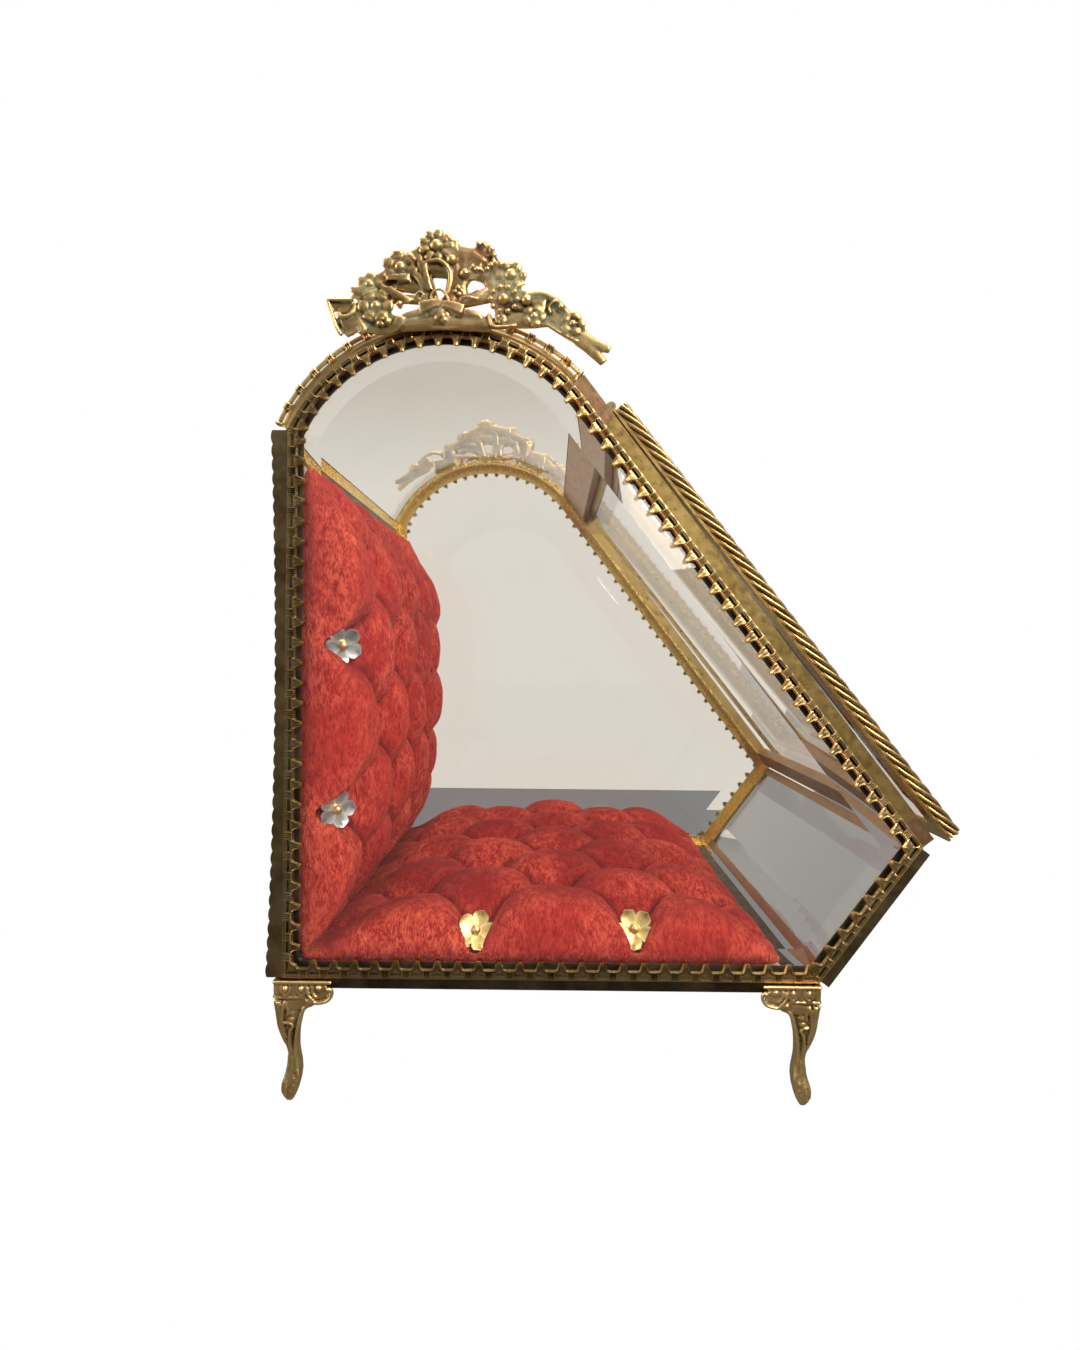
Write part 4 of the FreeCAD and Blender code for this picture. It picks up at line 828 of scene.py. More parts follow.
def addStrip(bm, stretches, side):
    total = sum(length for length, _ in stretches)
    count = max(1, round(total / strip["pitch"]))
    scale = total / count / strip["pitch"]
    flat, cells = slottedGrid(count, strip, strip["rows"])
    for vert, cell, column, row in cells:
        offset, level, lift = stripSpot(strip["columns"][column], row)
        vert.co = ((strip["pitch"] * (cell + 0.5) + offset) * scale, level, lift)
    flat.normal_update()
    bmesh.ops.solidify(flat, geom=flat.faces[:], thickness=strip["thickness"])
    inside = strip["inside"] + strip["thickness"] * strip["seat"]
    for vert in flat.verts:
        run, level, lift = vert.co
        spot = spotOn(stretches, run, level)
        wave = strip["wave"] * noise.noise(Vector((run, level, side)) * Vector(strip["waveSize"]))
        vert.co = caseSpot(spot.x, side * (inside + lift + wave), spot.y)
    pourInto(bm, flat)


# cuts a strip's end along the bisector of its corner
def mitreStrip(bm, corner, inward, along):
    across = Vector((-inward.y, inward.x))
    if across.dot(along) < 0:
        across = -across
    middle = caseSpot(corner[0], 0, corner[1])
    inPlane = Vector((1, 0, 1))
    near = [face for face in bm.faces
            if ((face.calc_center_median() - middle) * inPlane).length < strip["mitreReach"]]
    parts = set(near)
    for face in near:
        parts.update(face.edges)
        parts.update(face.verts)
    cut = bmesh.ops.bisect_plane(
        bm, geom=list(parts), dist=1e-7, plane_co=middle, plane_no=(across.x, 0, across.y), clear_outer=True)
    edges = [item for item in cut["geom_cut"] if isinstance(item, bmesh.types.BMEdge)]
    bmesh.ops.holes_fill(bm, edges=edges)


def makeGallery(name, side, node):
    runs = outlineRuns()
    corners = [(case["floorFront"], 0), case["frontCorner"], (0, case["backTop"]), (0, 0)]
    headings = []
    for run in runs:
        total = sum(length for length, _ in run)
        leaving = (spotOn(run, 0.1, 0) - spotOn(run, 0, 0)).normalized()
        arriving = (spotOn(run, total, 0) - spotOn(run, total - 0.1, 0)).normalized()
        headings.append((leaving, arriving))
    whole = bmesh.new()
    for index, run in enumerate(runs):
        bm = bmesh.new()
        addStrip(bm, run, side)
        leaving, arriving = headings[index]
        following = headings[(index + 1) % len(runs)][0]
        mitreStrip(bm, corners[index], (following - arriving).normalized(), arriving)
        previous = headings[index - 1][1]
        mitreStrip(bm, corners[index - 1], (leaving - previous).normalized(), -leaving)
        pourInto(whole, bm)
    faceOut(whole)
    markHollows(newPiece(name, whole, "strip", "case", [node], 50.0))


makeGallery("nearGalleryStrip", -1, "near_gallery")
makeGallery("farGalleryStrip", 1, "far_gallery")
print("casket: galleries pierced")

# flared band over the arch: slots near its lip with ribs between, plain below
flare = {
    "foot": (51.25, 83.15), "lip": (55.2, 80.1), "thickness": 0.8, "pitch": 6.1, "firstGap": 5.2, "lastGap": 0.3,
    "columns": (-3.05, -2.7, -2.4, -2.1, -1.75, -1.4, -0.7, 0.0, 0.7, 1.4, 1.75, 2.1, 2.4, 2.7),
    "levels": (0.0, 0.12, 0.30, 0.46, 0.54, 0.72, 0.88, 0.96, 1.0), "slotColumns": (4, 10), "slotRows": (4, 6),
    "slotHalf": 1.75, "slotRound": 0.8, "rib": 0.2, "ribHalf": 1.8, "ribStep": 0.62, "rim": 0.45, "rimRow": 7,
    "hollow": 0.35, "hollowTop": 0.5,
}


def makeFlare(name, side, node):
    first, last = archAngles()
    radius = flare["foot"][0]
    first += flare["firstGap"] / radius
    last -= flare["lastGap"] / radius
    count = round((last - first) * radius / flare["pitch"])
    foot, lip, center = (Vector(item) for item in (flare["foot"], flare["lip"], case["archCenter"]))
    slope = lip - foot
    outward = Vector((-slope.y, slope.x)).normalized()
    bm, cells = slottedGrid(count, flare, len(flare["levels"]))
    for vert, cell, column, row in cells:
        offset, level = flare["columns"][column], flare["levels"][row]
        if row in flare["slotRows"] and abs(offset) == flare["slotHalf"]:
            offset *= flare["slotRound"]
        lift = -flare["hollow"] * math.sin(math.pi * min(1, level / flare["hollowTop"]))
        if abs(offset) > flare["ribHalf"] and row >= flare["slotRows"][0]:
            lift += flare["rib"] * math.cos(2 * math.pi * (abs(offset) + flare["columns"][0]) / flare["ribStep"])
        if row >= flare["rimRow"]:
            lift += flare["rim"]
        angle = first + (last - first) * (cell + 0.5 + offset / flare["pitch"]) / count
        reach, depth = foot + slope * level + outward * lift
        vert.co = caseSpot(center.x + math.cos(angle) * reach, side * depth, center.y + math.sin(angle) * reach)
    faceOut(bm)
    bmesh.ops.solidify(bm, geom=bm.faces[:], thickness=flare["thickness"] * mm)
    faceOut(bm)
    markHollows(newPiece(name, bm, "flare", "case", [node], 50.0))


makeFlare("nearArchFlare", -1, "near_arch_band")
makeFlare("farArchFlare", 1, "far_arch_band")
print("casket: arch bands flared")

# rope mouldings round the door: six strands laid to the left
rope = {
    "radius": 2.1, "lobe": 0.42, "lobePower": 0.8, "lobeBase": 0.80, "strands": 6, "pitch": 30.0, "around": 48,
    "stepsPerTurn": 40, "doorAngle": 51.45, "stile": 161.5,
}


def makeRope(name, node, direction, length):
    low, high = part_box(node)
    bm = bmesh.new()
    ring = bmesh.ops.create_circle(bm, cap_ends=False, segments=rope["around"], radius=rope["radius"])["verts"]
    for vert in ring:
        strand = abs(math.cos(math.atan2(vert.co.y, vert.co.x) * rope["strands"] / 2))
        vert.co *= 1 + rope["lobe"] * (strand ** rope["lobePower"] - rope["lobeBase"])
    turns = length / rope["pitch"]
    steps = max(2, round(turns * rope["stepsPerTurn"]))
    bmesh.ops.spin(
        bm, geom=bm.verts[:] + bm.edges[:], cent=(0, 0, 0), axis=(0, 0, 1), dvec=(0, 0, length / steps),
        angle=-2 * math.pi * turns, steps=steps, use_duplicate=False)
    closeHoles(bm)
    faceOut(bm)
    aim = Vector(direction).to_track_quat("Z", "Y").to_matrix().to_4x4()
    middle = Matrix.Translation((low + high) / 2)
    bmesh.ops.transform(bm, verts=bm.verts[:], matrix=(
        middle @ aim @ Matrix.Scale(mm, 4) @ Matrix.Translation((0, 0, -length / 2))))
    markHollows(newPiece(name, bm, "rope", "door", [node], 60.0), passes=1)


slant = math.radians(rope["doorAngle"])
down = (math.cos(slant), 0, -math.sin(slant))
for sideName in ("near", "far"):
    makeRope(sideName + "DoorRope", f"door_{sideName}_rope", down, rope["stile"])
for endName in ("top", "bottom"):
    ropeLow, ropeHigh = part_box(f"door_{endName}_rope")
    makeRope(endName + "DoorRope", f"door_{endName}_rope", (0, 1, 0), (ropeHigh.y - ropeLow.y) / mm)
print("casket: ropes twisted")

# five-petal flower studs, cupped, with a ball
stud = {
    "reach": 6.2, "root": 0.7, "width": 2.6, "waist": 0.30, "tipStart": 0.62, "cup": 0.35, "lift": 0.8,
    "thickness": 0.3, "ball": 1.6, "ballLift": 0.9, "petals": 5, "lean": 1.5, "innerLean": 0.2, "clear": 1.8,
    "proud": 5.2, "wobble": (0.2, 0.15), "wobbleStep": (2.4, 1.7), "spin": 0.83, "feel": 0.0035,
    "feelDepth": -0.02, "bulgeRun": 0.62, "bulgeStart": 0.06, "bulgePower": 1.2, "cupRoot": 0.4, "liftPower": 1.8,
    "merge": 0.05,
}
seatStud = dict(stud, proud=4.8)


def studMesh():
    bm = bmesh.new()
    bmesh.ops.create_grid(bm, x_segments=5, y_segments=4, size=0.5)
    tipStart, waist, root, flat = stud["tipStart"], stud["waist"], stud["root"], stud["cupRoot"]
    for vert in bm.verts:
        share, side = vert.co.x + 0.5, vert.co.y * 2
        bulge = math.sin(math.pi * min(1.0, share * stud["bulgeRun"] + stud["bulgeStart"])) ** stud["bulgePower"]
        half = stud["width"] * (waist + (1 - waist) * bulge)
        half *= math.sqrt(max(0.0, 1 - max(0.0, (share - tipStart) / (1 - tipStart)) ** 2))
        dish = stud["cup"] * side ** 2 * (flat + (1 - flat) * share) + stud["lift"] * share ** stud["liftPower"]
        vert.co = (root + (stud["reach"] - root) * share, side * half, dish)
    bmesh.ops.remove_doubles(bm, verts=bm.verts[:], dist=stud["merge"])
    turn = 2 * math.pi * (stud["petals"] - 1) / stud["petals"]
    bmesh.ops.spin(
        bm, geom=bm.verts[:] + bm.edges[:] + bm.faces[:], cent=(0, 0, 0), axis=(0, 0, 1), dvec=(0, 0, 0),
        angle=turn, steps=stud["petals"] - 1, use_duplicate=True)
    faceOut(bm)
    bmesh.ops.solidify(bm, geom=bm.faces[:], thickness=stud["thickness"])
    petals = set(bm.faces)
    middle = Matrix.Translation((0, 0, stud["ballLift"]))
    bmesh.ops.create_icosphere(bm, subdivisions=2, radius=stud["ball"], matrix=middle)
    for face in bm.faces:
        face.material_index = 0 if face in petals else 1
    return toMesh("studFlower", bm)


# sets a stud on the velvet at each tuft. The outer ones lean towards the glass
def makeStuds(name, pad, point, velvet, look, finish, node):
    flower = studMesh()
    outward = (point(0, 0, 1) - point(0, 0, 0)).normalized()
    spots = np.empty(len(velvet.data.vertices) * 3)
    velvet.data.vertices.foreach_get("co", spots)
    spots = spots.reshape(-1, 3)
    axis = np.array(outward)
    bm = bmesh.new()
    for index, (along, across) in enumerate(tuftSpots(pad)):
        guess = point(along, across, padHeight(pad, along, across))
        apart = spots - np.array(guess)
        level = apart @ axis
        flat = np.linalg.norm(apart - np.outer(level, axis), axis=1)
        top = level[(flat < look["feel"]) & (level > look["feelDepth"])]
        seat = guess + outward * (float(np.median(top)) if len(top) else 0.0)
        first, second = (index * step for step in look["wobbleStep"])
        tilt = Matrix.Rotation(look["wobble"][0] * math.sin(first), 4, "X")
        tilt = tilt @ Matrix.Rotation(look["wobble"][1] * math.cos(second), 4, "Y")
        spin = Matrix.Rotation(index * look["spin"], 4, "Z")
        atEdge = abs(across) > pad["sideTuft"] - 1
        toGlass = Vector((0, across / pad["sideTuft"], 0))
        aim = outward + toGlass * (look["lean"] if atEdge else look["innerLean"])
        lift = outward * look["clear"] + aim.normalized() * (look["proud"] if atEdge else 0.0)
        upright = aim.to_track_quat("Z", "Y").to_matrix().to_4x4()
        place = Matrix.Translation(seat + lift * mm) @ upright @ tilt @ spin @ Matrix.Scale(mm, 4)
        addCopy(bm, flower, place)
    bpy.data.meshes.remove(flower)
    piece = newPiece(name, bm, finish, "case", [node], 50.0)
    piece.data.materials.append(materials["studGold"])
    markHollows(piece, passes=1)


makeStuds("seatFlowerStuds", seatPad, seatPoint, seatVelvet, seatStud, "studGold", "seat_flower_studs")
makeStuds("backFlowerStuds", backPad, backPoint, backVelvet, stud, "studSilver", "back_flower_studs")
print("casket: studs set")


# modelled castings: rounded lumps, tapered stems and ribbons, melted together by a voxel remesh
casting = {"pathSteps": 6, "around": 10, "merge": 1e-4, "lumpDetail": 2, "softenings": 2}


def addLump(bm, spot, scale, turn=0.0):
    shape = Matrix.Translation(spot) @ Matrix.Rotation(turn, 4, "Z") @ Matrix.Diagonal((*scale, 1.0))
    bmesh.ops.create_icosphere(bm, subdivisions=casting["lumpDetail"], radius=1.0, matrix=shape)


def smoothPath(points):
    steps = casting["pathSteps"]
    ends = [points[0]] + list(points) + [points[-1]]
    spots = []
    for first, second, third, fourth in zip(ends, ends[1:], ends[2:], ends[3:]):
        first, second, third, fourth = (Vector(item) for item in (first, second, third, fourth))
        for step in range(steps):
            t = step / steps
            spots.append(0.5 * (
                second * 2 + (third - first) * t + (first * 2 - second * 5 + third * 4 - fourth) * t * t
                + (second * 3 - first - third * 3 + fourth) * t ** 3))
    spots.append(Vector(points[-1]))
    return spots


# a stem through points, wide across the sheet and flat along its rise, tapering to shares of its width
def addStem(bm, points, wide, flat, taper=(1.0, 1.0), groove=0.0):
    spots = smoothPath(points)
    count = len(spots)
    tube = bmesh.new()
    bmesh.ops.create_grid(tube, x_segments=count - 1, y_segments=casting["around"], size=0.5)
    for vert in tube.verts:
        share = vert.co.x + 0.5
        index = round(share * (count - 1))
        ahead = spots[min(index + 1, count - 1)] - spots[max(index - 1, 0)]
        across = Vector((-ahead.y, ahead.x, 0)).normalized()
        angle = 2 * math.pi * (vert.co.y + 0.5)
        scale = taper[0] + (taper[1] - taper[0]) * share
        side, up = math.cos(angle), math.sin(angle)
        if groove and up > 0:
            up *= 1 - groove * math.cos(side * math.pi * 0.5)
        vert.co = spots[index] + across * side * wide * scale / 2 + Vector((0, 0, up * flat / 2))
    bmesh.ops.remove_doubles(tube, verts=tube.verts[:], dist=casting["merge"])
    closeHoles(tube)
    pourInto(bm, tube)


# a bloom: a disc, a ring of broad petals with a ruffled rim, and an eye, in shares of its radius and rise
bloom = {
    "disc": 0.92, "discRise": 0.40, "petalWide": 0.92, "petalAt": 0.66, "petalRise": 0.62, "petalLong": 0.36,
    "petalThick": 0.34, "rimAt": 0.92, "rimRise": 0.74, "rimSize": (0.13, 0.8, 0.14), "eyeRise": 0.80,
    "eyeWide": 1.1, "eyeThick": 0.8,
}


def addBloom(bm, x, z, radius, petals, rise, eye, turn):
    disc, eye = radius * bloom["disc"], radius * eye
    addLump(bm, (x, z, rise * bloom["discRise"]), (disc, disc, rise * bloom["discRise"]))
    wide = radius * math.sin(math.pi / petals) * bloom["petalWide"]
    petal = (radius * bloom["petalLong"], wide, rise * bloom["petalThick"])
    rim = [size * share for size, share in zip((radius, wide, radius), bloom["rimSize"])]
    for index in range(petals):
        angle = turn + 2 * math.pi * index / petals
        across, up = math.cos(angle) * radius, math.sin(angle) * radius
        for form, size in (("petal", petal), ("rim", rim)):
            at = bloom[form + "At"]
            addLump(bm, (x + across * at, z + up * at, rise * bloom[form + "Rise"]), size, angle)
    eyeWide = eye * bloom["eyeWide"]
    addLump(bm, (x, z, rise * bloom["eyeRise"]), (eyeWide, eyeWide, eye * bloom["eyeThick"]))


def addLeaf(bm, start, stop, wide, rise):
    start, stop = Vector(start), Vector(start).lerp(Vector(stop), 0.9)
    middle = (start + stop) / 2
    addStem(bm, [(*start, rise), (*middle, rise + 0.35), (*stop, rise)], wide * 1.7, 0.9, (0.9, 0.5), 0.6)


crest = {
    "across": 45.1, "up": 189.8, "back": 84.15, "squash": 0.935, "voxel": 0.36, "smoothing": 0.25,
    "relief": 2.4, "bloomScale": 1.12, "bloomTurn": 0.7, "tailStart": 24, "groove": 0.25, "grooveFrom": 2.4,
    "webScale": 1.06, "webThickness": 2.6,
    # webs behind the flowers: points across and up, width
    "webs": (
        (((-13, 19), (-7, 23.4), (-1.2, 26.6)), 6.4), (((-1.2, 26.4), (5, 24.8), (11.9, 23.6)), 6.6),
        (((11.9, 23), (16.6, 20.6), (20.6, 18)), 5.4), (((20.6, 18.2), (19.6, 14.4), (18.8, 10.6)), 7.4),
        (((-20.7, 14.8), (-16, 17.2), (-12, 19.6)), 5), (((-21, 14.6), (-20.4, 11), (-18.8, 8.2)), 7),
        (((-19.6, 8.6), (-17.6, 4.6), (-14, 2.6)), 6.4), (((-19, 10.4), (-12, 10.9), (-4, 10.4)), 2.6),
        (((-29, 4.6), (-24, 5.6), (-19, 6.6)), 8), (((18.6, 9.6), (25, 9.2), (30.6, 8.4)), 8),
        (((16, 5), (23, 5), (29.6, 5.6)), 6), (((3.8, 24.4), (4.2, 18), (3, 10)), 4.6),
        (((-6.4, 24), (-4.4, 18), (-2.4, 10.8)), 3.6), (((11.4, 21.6), (8, 19), (5, 13)), 3.6),
        (((18.4, 12.6), (13, 11.2), (5, 9.4)), 2.8), (((-12.6, 17.4), (-8, 15.4), (-3.6, 11.8)), 3),
        (((-15, 2.6), (0, 3.6), (15, 3)), 4.6), (((-5, 8.4), (0.6, 8.6), (6.6, 8)), 5.6),
        (((-6.6, 21), (-1, 20.8), (4.4, 20.4)), 6.2), (((-14, 17.2), (-9.4, 16.8), (-5, 16)), 4.2),
        (((6.4, 20.4), (11, 19.4), (15.6, 17.6)), 5), (((14.6, 17), (15.6, 13.6), (15.4, 10.4)), 4.4),
        (((-16, 13.4), (-12, 14.6), (-7, 14.2)), 3), (((4.4, 17.6), (6, 14.4), (6.4, 11.4)), 3.4),
    ),
    # blooms: across, up, radius, petals, rise, eye
    "blooms": (
        (-1.24, 27.2, 4.4, 9, 3, 0.34), (-11.7, 20.4, 4.5, 6, 2.9, 0.3), (-20.7, 15, 3.1, 5, 2.7, 0.36),
        (-18.7, 8.2, 4.4, 6, 3, 0.28), (-16.7, 4, 1.9, 4, 3.1, 0.35), (0.7, 5.3, 1.9, 4, 3.1, 0.4),
        (20.6, 18.2, 3.9, 6, 2.8, 0.4), (27.5, 5.6, 3, 5, 2.8, 0.3), (17.7, 4.4, 1.5, 4, 3, 0.3),
        (38.8, 3.4, 3.2, 5, 2.7, 0.26),
    ),
    # buds: across, up, radius, rise
    "buds": (
        (3.3, 22.8, 1.7, 2.4), (7.2, 18.6, 1.7, 2.3), (25.3, 10.3, 1.7, 2.5), (-11.9, 8.8, 1, 2.6),
        (35.4, 8.3, 1, 2.9), (5.2, 14.2, 0.7, 2.6), (6.1, 13.3, 0.6, 2.6), (4.4, 13, 0.6, 2.6),
        (5.4, 12.2, 0.6, 2.6),
    ),
    # leaves: start, stop, width, rise
    "leaves": (
        ((-3.4, 13.6), (-7, 25.4), 1.6, 2.2), ((-3, 13.2), (-5, 23), 1.3, 2.5),
        ((-3.8, 13.8), (-9.2, 20.6), 1.5, 2.4), ((-9.6, 9.8), (-18.6, 15.2), 1.7, 2.2),
        ((-8.6, 9.4), (-15.6, 14.4), 1.4, 2.5), ((-21, 12.6), (-26.8, 13.6), 2, 2),
        ((-22.6, 10.4), (-26, 12), 2, 1.8), ((3.2, 24.6), (4.2, 30), 2.4, 1.9),
        ((6, 20.6), (7, 27.6), 2.1, 1.7), ((-5.9, 7.6), (1.6, 9.9), 2.7, 2.7), ((7, 6.9), (0.4, 9), 2.6, 3),
        ((-4, 6.8), (-11.6, 4.9), 1.8, 2), ((6.8, 6.6), (12.6, 5.6), 1.7, 2), ((8.4, 10), (14.6, 14.6), 1.5, 2),
        ((16.2, 17.6), (14.4, 21.4), 1.8, 1.8), ((20, 14.8), (25.2, 16.4), 2.2, 1.9),
        ((-9, 17), (-16.2, 16.8), 1.7, 2.6),
    ),
    # stems: points across and up with their rise, width, thickness and end shares
    "stems": (
        (((-4.8, 21.8, 2), (-0.4, 22.3, 2.6), (2.5, 19.7, 2.2), (2.8, 16.4, 1.9), (1.9, 12, 1.7)),
         1.5, 1.5, (0.8, 1)),
        (((-6, 23, 1.2), (-4.6, 19, 1.2), (-2.4, 12, 1.2)), 3.2, 1.6, (1, 0.8)),
        (((5.6, 23, 1.2), (5.2, 18, 1.2), (4, 11, 1.2)), 3.6, 1.6, (1, 0.9)),
        (((7.6, 17.4, 1.6), (10.2, 17.4, 1.4), (11.6, 19.6, 1.2)), 1.3, 1.2, (1, 0.9)),
        (((11.6, 13.4, 1.2), (8.4, 11.6, 1.2), (5, 9.4, 1.2)), 2.2, 1.5, (0.9, 1)),
        (((-3, 11.2, 1.2), (-9, 10.8, 1.2), (-16, 11.8, 1.2)), 2.8, 1.6, (0.9, 1)),
        (((-5, 12.2, 1.2), (-8, 15.2, 1.2), (-12, 17.4, 1.2)), 2, 1.5, (0.9, 1)),
        (((-7.2, 11.4, 2.4), (-6, 12.4, 2.8), (-4.6, 11.4, 2.6), (-5.8, 10.4, 2.4)), 0.9, 0.9, (1, 0.7)),
        (((-2.6, 10.6, 2.4), (-1.6, 12.8, 2.8), (0.8, 12.9, 2.8), (2.6, 10, 2.6), (2.8, 8.4, 2.2)),
         1, 1, (0.7, 1)),
        (((5.8, 10.2, 2.4), (8, 11, 2.6), (11, 10.6, 2.2)), 1.4, 1.1, (1, 0.5)),
        (((-23, 1.8, 1.1), (-19, 0.9, 1.3), (-15, 0.9, 1.6), (-12.4, 2.4, 2), (-11.4, 4.9, 2.2)),
         2.6, 1.6, (1, 1.1)),
        (((-12.6, 3.4, 1.1), (-6, 4.2, 1.2), (0, 3.4, 1.4), (7, 4.4, 1.2), (14, 3.8, 1.2)), 4, 1.8, (0.9, 0.9)),
        (((-10, 1.6, 1.5), (-4, 2.2, 1.6), (1, 1.6, 1.6), (8, 2.2, 1.5), (13, 2, 1.5)), 1.3, 1.1, (0.8, 0.8)),
        (((14.3, 6.1, 1.8), (15.4, 2.2, 2.4), (18, 1.9, 2.2), (22, 2.6, 1.6)), 1.3, 2, (1, 0.8)),
        (((16, 5.6, 1), (21, 5.2, 1), (27, 5.4, 1), (31.6, 6.2, 1)), 7.4, 1.7, (0.8, 1)),
        (((18, 11, 1), (23, 11, 1), (28, 9.6, 1), (31, 7.6, 1)), 7, 1.7, (1.1, 0.9)),
        (((24.6, 11.8, 1.6), (29, 12.8, 1.7), (32.6, 11.4, 1.7), (35.6, 8.6, 1.7), (38, 5.4, 1.7)),
         2.2, 1.5, (0.9, 1)),
        (((30.6, 8, 1), (34, 4.8, 1), (37.6, 2, 1), (41.6, -0.6, 1)), 6.4, 1.6, (1, 0.9)),
        (((32.4, 6.2, 2.2), (31.9, 8.4, 2.5), (33.4, 9.9, 2.7), (35.2, 9.5, 2.7)), 0.9, 1, (0.8, 0.8)),
        (((31.2, 3.2, 1.5), (35.4, 0.4, 1.5), (40, -1.9, 1.5)), 1.2, 1.2, (0.8, 0.8)),
        (((40.4, 0.2, 1.1), (43.6, -1.6, 1.1), (46.8, -3.4, 1.3), (49.8, -4.4, 1.5)), 4.6, 1.9, (1, 0.55)),
        (((40.8, -1.4, 1.1), (43.6, -3.8, 1.1), (46, -6.4, 1.3), (48, -8.6, 1.5)), 4.2, 1.9, (1, 0.62)),
    ),
    # stems of the ribbon's broken end, some with a groove
    "stub": (
        (((-25.6, 8.2, 1.3), (-29, 8.3, 1.3), (-32.6, 8.5, 1.3)), 3.6, 1.7, (1, 1), 0.4),
        (((-29.2, 5.2, 1), (-27, 4.6, 1.1), (-24, 5, 1)), 9.4, 1.6),
        (((-25.4, 10.2, 1.7), (-29, 10, 1.9), (-33, 10.1, 1.7)), 0.9, 1.3),
        (((-33, 9.8, 1.7), (-31.6, 6, 1.7), (-30.2, 1.6, 1.6), (-28.8, -0.8, 1.4)), 1.1, 1.4),
        (((-28.6, 5.4, 1.1), (-27.2, 2.4, 1.1), (-25.4, -0.2, 1.1)), 5.4, 1.5, (0.9, 0.8), 0.5),
        (((-30, 5.8, 2), (-28.2, 4.6, 2.4), (-26, 5.6, 2.2), (-24.6, 8.2, 1.8)), 1.2, 1.2),
        (((-24.6, 8, 1.5), (-23.8, 4, 1.7), (-22.4, 1.4, 1.6), (-23.4, -0.4, 1.4)), 2, 1.4, (0.9, 1)),
    ),
    "beads": (18.6, 10.6, 3.9, 10, 0.86),
}


# ribbon stub with its square broken end
def addStub(bm):
    for stem in crest["stub"]:
        addStem(bm, *stem)


# trumpet flower: a throat, a bell with a ruffled rim, and veins
trumpet = {
    "spot": (11.9, 23.6), "radius": 4.5, "throat": ((-3.4, -5.0, 1.2), (-1.8, -2.4, 1.5), (0, 0, 1.8)),
    "throatSize": (5.0, 2.4, (0.5, 1.3)), "bell": (0.5, 0.2, 1.5), "bellSize": (0.92, 0.96, 1.1), "ruffles": 11,
    "rimStart": -2.3, "rimSweep": 4.1, "rim": (0.82, 0.92, 2.3), "ruffle": 0.35, "ruffleStep": 2.1,
    "ruffleSize": (0.95, 0.85, 0.85), "veins": (-1.6, -0.7, 0.2, 1.1), "veinRoot": (-0.8, -0.3, 2.0),
    "veinTip": (0.7, 0.8, 2.6), "veinSize": (0.7, 0.8),
}


def addTrumpet(bm):
    x, z = trumpet["spot"]
    radius = trumpet["radius"]

    def near(across, up, rise):
        return x + across, z + up, rise

    def onRim(angle, ring, ruffle=0.0):
        return near(math.cos(angle) * radius * ring[0], math.sin(angle) * radius * ring[1], ring[2] + ruffle)
    addStem(bm, [near(*point) for point in trumpet["throat"]], *trumpet["throatSize"])
    wide, tall, thick = trumpet["bellSize"]
    addLump(bm, near(*trumpet["bell"]), (radius * wide, radius * tall, thick))
    for index in range(trumpet["ruffles"]):
        angle = trumpet["rimStart"] + trumpet["rimSweep"] * index / (trumpet["ruffles"] - 1)
        ruffle = trumpet["ruffle"] * math.sin(index * trumpet["ruffleStep"])
        addLump(bm, onRim(angle, trumpet["rim"], ruffle), trumpet["ruffleSize"], angle)
    for angle in trumpet["veins"]:
        addStem(bm, [near(*trumpet["veinRoot"]), onRim(angle, trumpet["veinTip"])], *trumpet["veinSize"])


def makeCrest(name, side, node, broken):
    bm = bmesh.new()
    stems, blooms = list(crest["stems"]), list(crest["blooms"])
    if broken:
        addStub(bm)
    else:
        # a whole crest has the ribbon tail on both sides
        tail = [stem for stem in stems if stem[0][0][0] > crest["tailStart"]]
        stems += [(tuple((-x, z, rise) for x, z, rise in points), *rest) for points, *rest in tail]
        x, *rest = blooms[-1]
        blooms.append((-x, *rest))
    for index, (x, z, radius, petals, rise, eye) in enumerate(blooms):
        addBloom(bm, x, z, radius * crest["bloomScale"], petals, rise, eye, index * crest["bloomTurn"])
    for x, z, radius, rise in crest["buds"]:
        addLump(bm, (x, z, rise - 0.4), (radius, radius, radius))
        addLump(bm, (x, z, 1.1), (radius * 0.9, radius * 0.9, 1.2))
    for leaf in crest["leaves"]:
        addLeaf(bm, *leaf)
    for points, wide, flat, taper in stems:
        addStem(bm, points, wide, flat, taper, crest["groove"] if wide > crest["grooveFrom"] else 0.0)
    for points, wide in crest["webs"]:
        addStem(bm, [(x, z, 1.0) for x, z in points], wide * crest["webScale"], crest["webThickness"])
    addTrumpet(bm)
    x, z, radius, count, size = crest["beads"]
    addLump(bm, (x, z, 1.5), (radius * 1.1, radius * 1.1, 0.9))
    addLump(bm, (x, z, 2.7), (1.7, 1.7, 1.4))
    for index in range(count):
        angle = 2 * math.pi * index / count
        addLump(bm, (x + math.cos(angle) * radius, z + math.sin(angle) * radius, 2.5), (size, size, size))
    turn = Matrix(((1, 0, 0, 0), (0, 0, side, 0), (0, crest["squash"], 0, 0), (0, 0, 0, 1)))
    origin = caseSpot(crest["across"], side * crest["back"], crest["up"])
    bmesh.ops.transform(bm, verts=bm.verts[:], matrix=Matrix.Translation(origin) @ turn @ Matrix.Scale(mm, 4))
    faceOut(bm)
    meltCasting(name, bm, crest, "cast", node)


